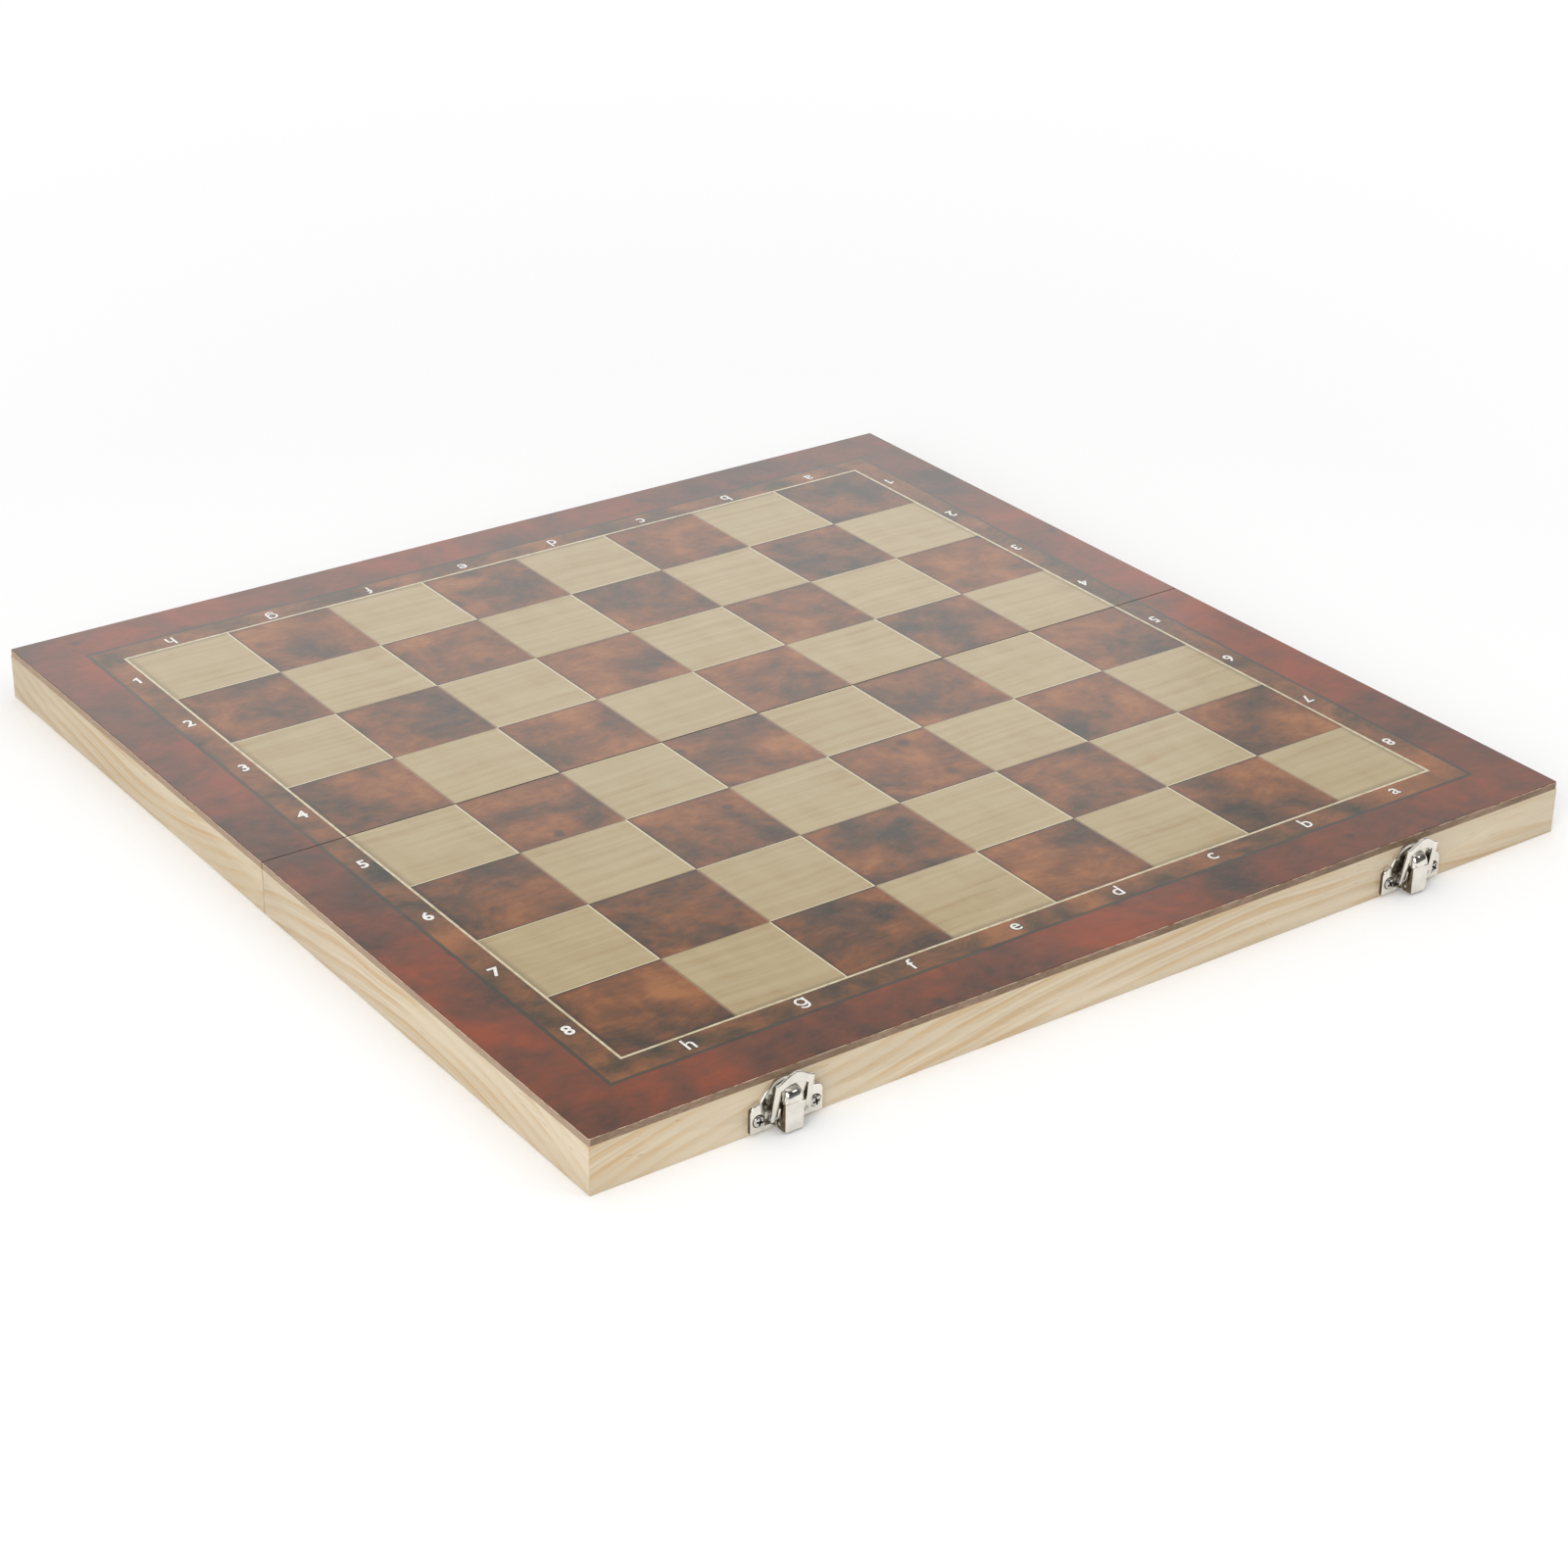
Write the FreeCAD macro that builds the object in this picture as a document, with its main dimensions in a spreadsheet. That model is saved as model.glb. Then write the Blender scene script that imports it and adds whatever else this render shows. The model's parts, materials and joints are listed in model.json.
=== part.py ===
import FreeCAD, Part
import os
import re
import Sketcher

# Folding chessboard: two hinged trays whose printed lids make the playing surface.
# X runs along the fold, +Y to the back, +Z up. The fold axis is the X axis, on the plane of the rims.

doc = FreeCAD.newDocument("folding_chessboard")
sheet = doc.addObject("Spreadsheet::Sheet", "sizes")

SIZES = [
    ("board_side", 390.0, "open board, along the fold and across it"),
    ("fold_gap", 0.4, "gap between the two halves at the fold"),
    ("wall_height", 16.5, "tray wall, rim to panel"),
    ("wall_thick", 10.0, "tray wall"),
    ("panel_thick", 2.6, "printed panel"),
    ("panel_round", 2.0, "outer corners of the panel"),
    ("panel_bevel", 0.3, "bevel on the panel's upper edges"),
    ("overrun", 1.0, "how far a cut runs past the surface"),
    ("pilot_gap", 0.05, "radial gap round a screw in wood"),
    ("plate_gap", 0.15, "radial gap round a screw in sheet metal"),
    ("run_gap", 0.05, "radial running gap of a pin"),
    ("press_gap", 0.01, "radial gap of a fixed pin"),
    ("hinge_in", 65.0, "middle of a hinge, from the side of the board"),
    ("leaf_long", 22.0, "hinge leaf along the fold"),
    ("leaf_wide", 8.5, "hinge leaf from the axis"),
    ("leaf_thick", 1.0, "hinge leaf"),
    ("leaf_sink", 0.1, "leaf below the rim"),
    ("leaf_gap", 0.15, "gap round the leaf in its seat"),
    ("barrel_radius", 1.5, "hinge barrel"),
    ("barrel_gap", 0.4, "gap between the barrel and what turns round it"),
    ("middle_long", 8.0, "middle knuckle of the hinge"),
    ("knuckle_gap", 0.15, "gap between knuckles"),
    ("hinge_pin_radius", 0.6, "hinge pin"),
    ("leaf_screw_apart", 13.0, "spacing of the two screws of a leaf"),
    ("leaf_screw_out", 5.2, "leaf screw from the axis"),
    ("flat_head_radius", 1.8, "countersunk head"),
    ("flat_head_high", 0.8, "countersunk head"),
    ("flat_shank_radius", 1.0, "hinge screw"),
    ("flat_shank_long", 7.0, "hinge screw below the head"),
    ("slot_wide", 0.5, "cross recess"),
    ("slot_long", 2.0, "cross recess"),
    ("slot_deep", 0.4, "cross recess"),
    ("latch_left_in", 67.0, "left latch, from the left side of the board"),
    ("latch_right_in", 69.5, "right latch, from the right side of the board"),
    ("base_wide", 26.0, "latch base plate over its ears"),
    ("base_thick", 1.2, "latch base plate"),
    ("base_low", 1.2, "lower edge of the base plate above the rim"),
    ("ear_high", 9.8, "ears of the base plate"),
    ("ear_round", 3.0, "upper outer corners of the ears"),
    ("ear_out", 2.4, "ears of the base plate past its arch"),
    ("arch_up", 6.4, "centre of the arch above the rim"),
    ("base_screw_in", 2.9, "latch screws, from the ends of the base plate"),
    ("base_screw_up", 5.2, "latch screws above the rim"),
    ("pan_head_radius", 2.2, "latch screw head"),
    ("pan_head_low", 0.5, "straight part of the head"),
    ("pan_head_dome", 0.6, "domed part of the head"),
    ("pan_head_top_radius", 1.5, "top of the dome"),
    ("pan_shank_radius", 1.1, "latch screw"),
    ("pan_shank_long", 7.0, "latch screw below the head"),
    ("pivot_out", 3.0, "lever pivot and hoop pivot, from the wall"),
    ("pivot_up", 2.6, "lever pivot above the rim"),
    ("pivot_apart", 3.2, "hoop pivot above the lever pivot"),
    ("lug_radius", 1.4, "lug of the base plate"),
    ("lug_sheet", 0.8, "lug of the base plate"),
    ("side_gap", 0.2, "gap beside a turning sheet"),
    ("lever_pin_radius", 0.6, "lever pin"),
    ("lever_sheet", 0.8, "lever sheet"),
    ("lever_out", 6.0, "front of the lever, from the wall"),
    ("lever_low", 0.9, "lower end of the lever"),
    ("lever_back", 1.7, "back edges of the lever, from the wall"),
    ("lever_back_up", 7.5, "upper end of the straight back edge"),
    ("lever_heel_out", 2.0, "heel of the lever, from the wall"),
    ("lever_heel_up", 1.4, "heel of the lever above the rim"),
    ("lever_round", 0.6, "rounded front edges of the lever"),
    ("hood_low", 10.0, "where the hood of the lever begins"),
    ("hood_top", 14.5, "top of the hood"),
    ("hood_tip_out", 3.7, "tip of the hood, from the wall"),
    ("hoop_pin_radius", 0.8, "hoop pin"),
    ("hoop_collar_radius", 1.2, "collar of the hoop pin"),
    ("hoop_collar_long", 2.3, "collar of the hoop pin"),
    ("hoop_pin_proud", 0.25, "hoop pin past the leg"),
    ("hoop_side_gap", 0.7, "gap between a hoop leg and the screw head beside it"),
    ("hoop_sheet", 0.9, "hoop sheet"),
    ("hoop_half", 1.4, "half the depth of a hoop leg"),
    ("hoop_lean_angle", 8.0, "lean of the stowed hoop, in degrees"),
    ("web_low", 9.7, "inner edge of the hoop web, from its pivot"),
    ("web_high", 13.0, "shoulders of the hoop web, from its pivot"),
    ("tongue_high", 15.4, "tongue of the hoop, from its pivot"),
    ("tongue_wide", 8.4, "tongue of the hoop"),
    ("tongue_round", 1.8, "upper corners of the tongue"),
    ("catch_wide", 19.0, "catch plate"),
    ("catch_sheet", 0.9, "catch plate"),
    ("catch_low", 1.4, "lower edge of the catch plate above the rim"),
    ("catch_high", 13.4, "upper edge of the catch plate above the rim"),
    ("catch_screw_in", 2.5, "catch screws, from the ends of the catch plate"),
    ("catch_screw_up", 10.5, "catch screws above the rim"),
    ("hook_side_gap", 1.8, "gap between the hook and a hoop leg"),
    ("hook_out", 3.6, "hook of the catch, from the wall"),
    ("hook_lip", 2.2, "lip of the hook"),
    ("hook_gap", 0.1, "gap between the hook and the hoop"),
]

for row, (alias, size, meaning) in enumerate(SIZES, 1):
    sheet.set("A%d" % row, str(size))
    sheet.setAlias("A%d" % row, alias)
    sheet.set("B%d" % row, meaning)
doc.recompute()

ALIASES = {alias for alias, size, meaning in SIZES}
AXES = {
    "x": FreeCAD.Rotation(FreeCAD.Vector(0, 1, 0), 90),
    "y": FreeCAD.Rotation(FreeCAD.Vector(1, 0, 0), -90),
    "-y": FreeCAD.Rotation(FreeCAD.Vector(1, 0, 0), 90),
    "z": FreeCAD.Rotation(),
}
nodes = []


def full(text):
    """The expression with each size name led back to its cell."""
    return re.sub(r"[a-z_]+", lambda m: "sizes." + m.group(0) if m.group(0) in ALIASES else m.group(0), text)


def number(text):
    """What an expression is worth now."""
    return float(sheet.evalExpression(full(text)))


def bind(thing, prop, text):
    thing.setExpression(prop, full(text))


def place(thing, x, y, z):
    bind(thing, "Placement.Base.x", x)
    bind(thing, "Placement.Base.y", y)
    bind(thing, "Placement.Base.z", z)


def new_body(label):
    body = doc.addObject("PartDesign::Body", label)
    body.Label = label
    return body


def plane_of(body, role):
    return next(f for f in body.Origin.OriginFeatures if f.Role == role)


def outline(body, name, role, points, shift):
    """A closed polygon sketch; each corner is held by its two distances from the origin."""
    sketch = body.newObject("Sketcher::SketchObject", body.Name + "_" + name)
    sketch.AttachmentSupport = [(plane_of(body, role), "")]
    sketch.MapMode = "FlatFace"
    bind(sketch, "AttachmentOffset.Base.z", shift)
    corners = [FreeCAD.Vector(number(a), number(b), 0) for a, b in points]
    count = len(corners)
    for i in range(count):
        sketch.addGeometry(Part.LineSegment(corners[i], corners[(i + 1) % count]))
    for i in range(count):
        sketch.addConstraint(Sketcher.Constraint("Coincident", i, 2, (i + 1) % count, 1))
    for i, (a, b) in enumerate(points):
        for kind, text, at in (("DistanceX", a, corners[i].x), ("DistanceY", b, corners[i].y)):
            index = sketch.addConstraint(Sketcher.Constraint(kind, -1, 1, i, 1, at))
            sketch.renameConstraint(index, "%s_%d" % (kind, i))
            bind(sketch, "Constraints.%s_%d" % (kind, i), text)
    return sketch


def pad(body, name, sketch, length):
    feature = body.newObject("PartDesign::Pad", body.Name + "_" + name)
    feature.Profile = sketch
    bind(feature, "Length", length)
    sketch.Visibility = False
    return feature


def pocket(body, name, sketch, length):
    feature = body.newObject("PartDesign::Pocket", body.Name + "_" + name)
    feature.Profile = sketch
    feature.Reversed = True
    bind(feature, "Length", length)
    sketch.Visibility = False
    return feature


def block(body, name, x, y, z, cut=False):
    """A box from its low and high ends on each axis."""
    kind = "PartDesign::SubtractiveBox" if cut else "PartDesign::AdditiveBox"
    feature = body.newObject(kind, body.Name + "_" + name)
    bind(feature, "Length", "(%s) - (%s)" % (x[1], x[0]))
    bind(feature, "Width", "(%s) - (%s)" % (y[1], y[0]))
    bind(feature, "Height", "(%s) - (%s)" % (z[1], z[0]))
    place(feature, x[0], y[0], z[0])
    return feature


def rod(body, name, axis, radius, start, length, cut=False):
    """A cylinder that runs along an axis from its start."""
    kind = "PartDesign::SubtractiveCylinder" if cut else "PartDesign::AdditiveCylinder"
    feature = body.newObject(kind, body.Name + "_" + name)
    feature.Placement = FreeCAD.Placement(FreeCAD.Vector(), AXES[axis])
    bind(feature, "Radius", radius)
    bind(feature, "Height", length)
    place(feature, *start)
    return feature


def cone(body, name, axis, radii, start, length, cut=False):
    """A cone frustum that runs along an axis from its start."""
    kind = "PartDesign::SubtractiveCone" if cut else "PartDesign::AdditiveCone"
    feature = body.newObject(kind, body.Name + "_" + name)
    feature.Placement = FreeCAD.Placement(FreeCAD.Vector(), AXES[axis])
    bind(feature, "Radius1", radii[0])
    bind(feature, "Radius2", radii[1])
    bind(feature, "Height", length)
    place(feature, *start)
    return feature


def edges_at(feature, points):
    """Names of the edges that pass through the given points."""
    doc.recompute()
    names = []
    for point in points:
        spot = Part.Vertex(FreeCAD.Vector(*[number(t) for t in point]))
        far = [edge.distToShape(spot)[0] for edge in feature.Shape.Edges]
        names.append("Edge%d" % (far.index(min(far)) + 1))
    return names


def dress(body, kind, name, feature, points, size):
    """Rounds or bevels the edges that pass through the given points."""
    dressed = body.newObject("PartDesign::" + kind, body.Name + "_" + name)
    dressed.Base = (feature, edges_at(feature, points))
    bind(dressed, "Radius" if kind == "Fillet" else "Size", size)
    return dressed


def finish(body):
    nodes.append(body)
    return body


def group(label, bodies):
    compound = doc.addObject("Part::Compound", label)
    compound.Label = label
    compound.Links = bodies
    nodes.append(compound)
    return compound


def across(side, base, low, high):
    """Low and high ends on Y of a span that runs outward from a base distance, on one side of the fold."""
    near = "%s(%s + %s)" % (side, base, low)
    far = "%s(%s + %s)" % (side, base, high)
    return (far, near) if side == "-" else (near, far)


HALF = "board_side / 2"
FOLD = "fold_gap / 2"
HALVES = (("front", "-"), ("back", ""))
HINGES = (("left", "(hinge_in - %s)" % HALF), ("right", "(%s - hinge_in)" % HALF))
LATCHES = (("left", "(latch_left_in - %s)" % HALF), ("right", "(%s - latch_right_in)" % HALF))
BASE_SCREWS = "(base_wide - base_screw_in - base_screw_in)"
CATCH_SCREWS = "(catch_wide - catch_screw_in - catch_screw_in)"
ARCH = "(base_wide / 2 - ear_out)"
HOOP = "(%s - (pan_head_radius + hoop_side_gap) * 2)" % BASE_SCREWS
HOOK = "(%s - (hoop_sheet + hook_side_gap) * 2)" % HOOP
LEVER = "(%s - (hoop_sheet + side_gap + hoop_collar_long + side_gap) * 2)" % HOOP


# Printed panels


def make_panel(half, side):
    body = new_body(half + "_panel")
    rim = "%s(%s)" % (side, HALF)
    seam = "%s(%s)" % (side, FOLD)
    corners = [("-" + HALF, rim), (HALF, rim), (HALF, seam), ("-" + HALF, seam)]
    sketch = outline(body, "sketch", "XY_Plane", corners, "wall_height")
    plate = pad(body, "pad", sketch, "panel_thick")
    middle = "wall_height + panel_thick / 2"
    top = "wall_height + panel_thick"
    uprights = [("-" + HALF, rim, middle), (HALF, rim, middle)]
    rounded = dress(body, "Fillet", "corners", plate, uprights, "panel_round")
    halfway = "%s(board_side / 4)" % side
    bent = "%s(%s - panel_round * (1 - sqrt(1 / 2)))" % (side, HALF)
    turn = "%s - panel_round * (1 - sqrt(1 / 2))" % HALF
    points = [("0", rim, top), (HALF, halfway, top), ("-" + HALF, halfway, top)]
    points += [(turn, bent, top), ("-(%s)" % turn, bent, top)]
    dress(body, "Chamfer", "bevel", rounded, points, "panel_bevel")
    finish(body)


# Tray walls with mitred ends


def make_wall(label, corners):
    body = new_body(label)
    sketch = outline(body, "sketch", "XY_Plane", corners, "0")
    pad(body, "pad", sketch, "wall_height")
    return body


def span(at, wide):
    """Low and high ends of a width about its middle."""
    return ("%s - %s / 2" % (at, wide), "%s + %s / 2" % (at, wide))


def screw_spots(at, apart):
    low, high = span(at, apart)
    return [("near", low), ("far", high)]


def make_outer_wall(half, side, apart, up):
    rim = "%s(%s)" % (side, HALF)
    inner = "%s(%s - wall_thick)" % (side, HALF)
    end = "%s - wall_thick" % HALF
    body = make_wall(half + "_wall", [("-" + HALF, rim), (HALF, rim), (end, inner), ("-(%s)" % end, inner)])
    sheet_name = "base_thick" if half == "front" else "catch_sheet"
    for latch, at in LATCHES:
        for spot, x in screw_spots(at, apart):
            start = (x, "%s(%s + overrun)" % (side, HALF), up)
            depth = "overrun + pan_shank_long - %s" % sheet_name
            rod(body, "pilot_%s_%s" % (latch, spot), "y" if side == "-" else "-y",
                "pan_shank_radius + pilot_gap", start, depth, cut=True)
    finish(body)


def make_side_wall(half, side, hand, sign):
    rim = "%s(%s)" % (side, HALF)
    seam = "%s(%s)" % (side, FOLD)
    inner_rim = "%s(%s - wall_thick)" % (side, HALF)
    inner_seam = "%s(%s + wall_thick)" % (side, FOLD)
    outer = "%s(%s)" % (sign, HALF)
    inner = "%s(%s - wall_thick)" % (sign, HALF)
    corners = [(outer, rim), (inner, inner_rim), (inner, inner_seam), (outer, seam)]
    finish(make_wall("%s_%s_wall" % (half, hand), corners))


def make_fold_wall(half, side):
    seam = "%s(%s)" % (side, FOLD)
    inner = "%s(%s + wall_thick)" % (side, FOLD)
    end = "%s - wall_thick" % HALF
    corners = [("-" + HALF, seam), (HALF, seam), (end, inner), ("-(%s)" % end, inner)]
    body = make_wall(half + "_fold_wall", corners)
    for hand, at in HINGES:
        reach = "(leaf_long / 2 + leaf_gap)"
        x = ("%s - %s" % (at, reach), "%s + %s" % (at, reach))
        y = across(side, "0", "0", "leaf_wide + leaf_gap")
        block(body, "seat_" + hand, x, y, ("-overrun", "leaf_sink + leaf_thick"), cut=True)
        rod(body, "groove_" + hand, "x", "barrel_radius + barrel_gap", (x[0], "0", "0"),
            "leaf_long + leaf_gap + leaf_gap", cut=True)
        for spot, sx in screw_spots(at, "leaf_screw_apart"):
            start = (sx, "%sleaf_screw_out" % side, "0")
            depth = "leaf_sink + flat_head_high + flat_shank_long"
            rod(body, "pilot_%s_%s" % (hand, spot), "z", "flat_shank_radius + pilot_gap",
                start, depth, cut=True)
    finish(body)


# Butt hinges


def make_leaf(half, side, hand, at):
    body = new_body("hinge_%s_leaf_%s" % (hand, half))
    z = ("leaf_sink", "leaf_sink + leaf_thick")
    ends = span(at, "leaf_long")
    plate = across(side, "barrel_radius", "barrel_gap", "(leaf_wide - barrel_radius)")
    block(body, "plate", ends, plate, z)
    inner = "middle_long / 2"
    if half == "front":
        edge = inner + " + knuckle_gap"
        low = (ends[0], "%s - (%s)" % (at, edge))
        high = ("%s + %s" % (at, edge), ends[1])
        knuckles = [("low", low), ("high", high)]
    else:
        knuckles = [("mid", ("%s - %s" % (at, inner), "%s + %s" % (at, inner)))]
    for name, x in knuckles:
        block(body, "strip_" + name, x, across(side, "0", "0", "(barrel_radius + barrel_gap)"), z)
        rod(body, "barrel_" + name, "x", "barrel_radius", (x[0], "0", "0"), "(%s) - (%s)" % (x[1], x[0]))
    gap = "run_gap" if half == "front" else "press_gap"
    rod(body, "bore", "x", "hinge_pin_radius + " + gap, ("%s - overrun" % ends[0], "0", "0"),
        "leaf_long + overrun + overrun", cut=True)
    for spot, sx in screw_spots(at, "leaf_screw_apart"):
        start = (sx, "%sleaf_screw_out" % side, "leaf_sink")
        rod(body, "hole_" + spot, "z", "flat_shank_radius + plate_gap", start,
            "leaf_thick + overrun", cut=True)
        radii = ("flat_head_radius + plate_gap", "flat_shank_radius + plate_gap")
        cone(body, "sink_" + spot, "z", radii, start, "flat_head_high", cut=True)
    finish(body)


def make_hinge_pin(hand, at):
    body = new_body("hinge_%s_pin" % hand)
    rod(body, "rod", "x", "hinge_pin_radius", (span(at, "leaf_long")[0], "0", "0"), "leaf_long")
    finish(body)


def make_flat_screw(label, x, y):
    body = new_body(label)
    cone(body, "head", "z", ("flat_head_radius", "flat_shank_radius"), (x, y, "leaf_sink"), "flat_head_high")
    rod(body, "shank", "z", "flat_shank_radius", (x, y, "leaf_sink + flat_head_high"), "flat_shank_long")
    z = ("leaf_sink - overrun", "leaf_sink + slot_deep")
    wide = ("%s - slot_wide / 2" % x, "%s + slot_wide / 2" % x)
    long = ("%s - slot_long / 2" % y, "%s + slot_long / 2" % y)
    block(body, "slot_a", wide, long, z, cut=True)
    wide = ("%s - slot_long / 2" % x, "%s + slot_long / 2" % x)
    long = ("%s - slot_wide / 2" % y, "%s + slot_wide / 2" % y)
    block(body, "slot_b", wide, long, z, cut=True)
    return body


def make_pan_screw(label, side, x, seat, up):
    """A pan-head screw driven into an outer wall; seat is the sheet under its head."""
    body = new_body(label)
    outward = "-y" if side == "-" else "y"
    inward = "y" if side == "-" else "-y"
    face = "%s(%s + %s)" % (side, HALF, seat)
    rod(body, "head", outward, "pan_head_radius", (x, face, up), "pan_head_low")
    dome = "%s(%s + %s + pan_head_low)" % (side, HALF, seat)
    cone(body, "dome", outward, ("pan_head_radius", "pan_head_top_radius"), (x, dome, up), "pan_head_dome")
    rod(body, "shank", inward, "pan_shank_radius", (x, face, up), "pan_shank_long")
    top = "(%s + pan_head_low + pan_head_dome)" % seat
    y = across(side, HALF, "%s - slot_deep" % top, "%s + overrun" % top)
    wide = ("%s - slot_wide / 2" % x, "%s + slot_wide / 2" % x)
    tall = ("%s - slot_long / 2" % up, "%s + slot_long / 2" % up)
    block(body, "slot_a", wide, y, tall, cut=True)
    wide = ("%s - slot_long / 2" % x, "%s + slot_long / 2" % x)
    tall = ("%s - slot_wide / 2" % up, "%s + slot_wide / 2" % up)
    block(body, "slot_b", wide, y, tall, cut=True)
    return body


# Toggle latches

PIVOT_Y = "-(%s + pivot_out)" % HALF
HOOP_Z = "pivot_up + pivot_apart"
LUG_OUT = "%s / 2 - lever_sheet - side_gap" % LEVER


def make_base(hand, at):
    body = new_body("latch_%s_base" % hand)
    y = across("-", HALF, "0", "base_thick")
    rod(body, "arch", "-y", ARCH, (at, "-" + HALF, "arch_up"), "base_thick")
    wide = span(at, "base_wide")
    deep = across("-", HALF, "(-overrun)", "(base_thick + overrun)")
    block(body, "trim", wide, deep, ("arch_up - %s - overrun" % ARCH, "base_low"), cut=True)
    ears = block(body, "ears", wide, y, ("base_low", "base_low + ear_high"))
    corners = [(x, "-(%s + base_thick / 2)" % HALF, "base_low + ear_high") for x in wide]
    dress(body, "Fillet", "ear_corners", ears, corners, "ear_round")
    for name, sign in (("low", "-"), ("high", "+")):
        outer = "%s %s (%s)" % (at, sign, LUG_OUT)
        inner = "%s %s (%s - lug_sheet)" % (at, sign, LUG_OUT)
        x = (outer, inner) if sign == "-" else (inner, outer)
        z = ("pivot_up - lug_radius", "pivot_up + lug_radius")
        block(body, "lug_" + name, x, across("-", HALF, "0", "pivot_out"), z)
        rod(body, "eye_" + name, "x", "lug_radius", (x[0], PIVOT_Y, "pivot_up"), "lug_sheet")
    start = ("%s - %s" % (at, LEVER), PIVOT_Y, "pivot_up")
    rod(body, "pin_bore", "x", "lever_pin_radius + press_gap", start, "%s * 2" % LEVER, cut=True)
    for spot, sx in screw_spots(at, BASE_SCREWS):
        start = (sx, "-%s + overrun" % HALF, "base_screw_up")
        rod(body, "hole_" + spot, "-y", "pan_shank_radius + plate_gap", start,
            "base_thick + overrun + overrun", cut=True)
    finish(body)


def make_lever_pin(hand, at):
    body = new_body("latch_%s_lever_pin" % hand)
    start = (span(at, LEVER)[0], PIVOT_Y, "pivot_up")
    rod(body, "rod", "x", "lever_pin_radius", start, LEVER)
    finish(body)


def make_lever(hand, at):
    body = new_body("latch_%s_lever" % hand)

    def corner(out, up):
        return ("-(%s + %s)" % (HALF, out), up)

    profile = [
        corner("lever_out", "lever_low"),
        corner("lever_out", "hood_low"),
        corner("hood_tip_out", "hood_top"),
        corner("(hood_tip_out - lever_sheet)", "hood_top"),
        corner("lever_back", "lever_back_up"),
        corner("lever_back", "pivot_up"),
        corner("lever_heel_out", "lever_heel_up"),
    ]
    sides = span(at, LEVER)
    sketch = outline(body, "sketch", "YZ_Plane", profile, sides[0])
    shell = pad(body, "pad", sketch, LEVER)
    points = []
    for x in sides:
        points.append((x, "-(%s + lever_out)" % HALF, "(lever_low + hood_low) / 2"))
        points.append((x, "-(%s + (lever_out + hood_tip_out) / 2)" % HALF, "(hood_low + hood_top) / 2"))
    dress(body, "Fillet", "soft_edges", shell, points, "lever_round")
    inside = [
        corner("(lever_out - lever_sheet)", "lever_low - overrun"),
        corner("(lever_out - lever_sheet)", "hood_low"),
        corner("(hood_tip_out - lever_sheet / 2)", "hood_top - lever_sheet"),
        corner("0", "hood_top - lever_sheet"),
        corner("0", "lever_low - overrun"),
    ]
    hollow = outline(body, "hollow_sketch", "YZ_Plane", inside, "%s + lever_sheet" % sides[0])
    pocket(body, "hollow", hollow, "%s - lever_sheet - lever_sheet" % LEVER)
    start = "%s - %s" % (at, LEVER)
    through = "%s * 2" % LEVER
    rod(body, "pivot_bore", "x", "lever_pin_radius + run_gap", (start, PIVOT_Y, "pivot_up"),
        through, cut=True)
    rod(body, "hoop_bore", "x", "hoop_pin_radius + press_gap", (start, PIVOT_Y, HOOP_Z),
        through, cut=True)
    finish(body)


def make_hoop_pin(hand, at):
    body = new_body("latch_%s_hoop_pin" % hand)
    reach = "%s / 2 + hoop_pin_proud" % HOOP
    start = ("%s - (%s)" % (at, reach), PIVOT_Y, HOOP_Z)
    rod(body, "rod", "x", "hoop_pin_radius", start, "(%s) * 2" % reach)
    inner = "%s / 2 + side_gap" % LEVER
    outer = "%s + hoop_collar_long" % inner
    for name, start in (("low", "%s - (%s)" % (at, outer)), ("high", "%s + %s" % (at, inner))):
        rod(body, "collar_" + name, "x", "hoop_collar_radius", (start, PIVOT_Y, HOOP_Z), "hoop_collar_long")
    finish(body)


def make_hoop(hand, at):
    """The hoop is drawn upright on its own pivot and then leaned outward."""
    body = new_body("latch_%s_hoop" % hand)
    wide = ("-%s / 2" % HOOP, "%s / 2" % HOOP)
    front = ("-hoop_half", "-hoop_half + hoop_sheet")
    block(body, "web", wide, front, ("web_low", "web_high"))
    tip = ("-tongue_wide / 2", "tongue_wide / 2")
    tongue = block(body, "tongue", tip, front, ("web_low", "tongue_high"))
    corners = [(x, "-hoop_half + hoop_sheet / 2", "tongue_high") for x in tip]
    dress(body, "Fillet", "tongue_corners", tongue, corners, "tongue_round")
    low = (wide[0], "%s + hoop_sheet" % wide[0])
    high = ("%s - hoop_sheet" % wide[1], wide[1])
    for name, x in (("low", low), ("high", high)):
        block(body, "leg_" + name, x, ("-hoop_half", "hoop_half"), ("0", "web_high"))
        rod(body, "eye_" + name, "x", "hoop_half", (x[0], "0", "0"), "hoop_sheet")
    rod(body, "bore", "x", "hoop_pin_radius + run_gap", ("-%s" % HOOP, "0", "0"), "%s * 2" % HOOP, cut=True)
    lean = FreeCAD.Rotation(FreeCAD.Vector(1, 0, 0), number("hoop_lean_angle"))
    body.Placement = FreeCAD.Placement(FreeCAD.Vector(), lean)
    bind(body, "Placement.Rotation.Angle", "hoop_lean_angle")
    place(body, at, PIVOT_Y, HOOP_Z)
    finish(body)


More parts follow.
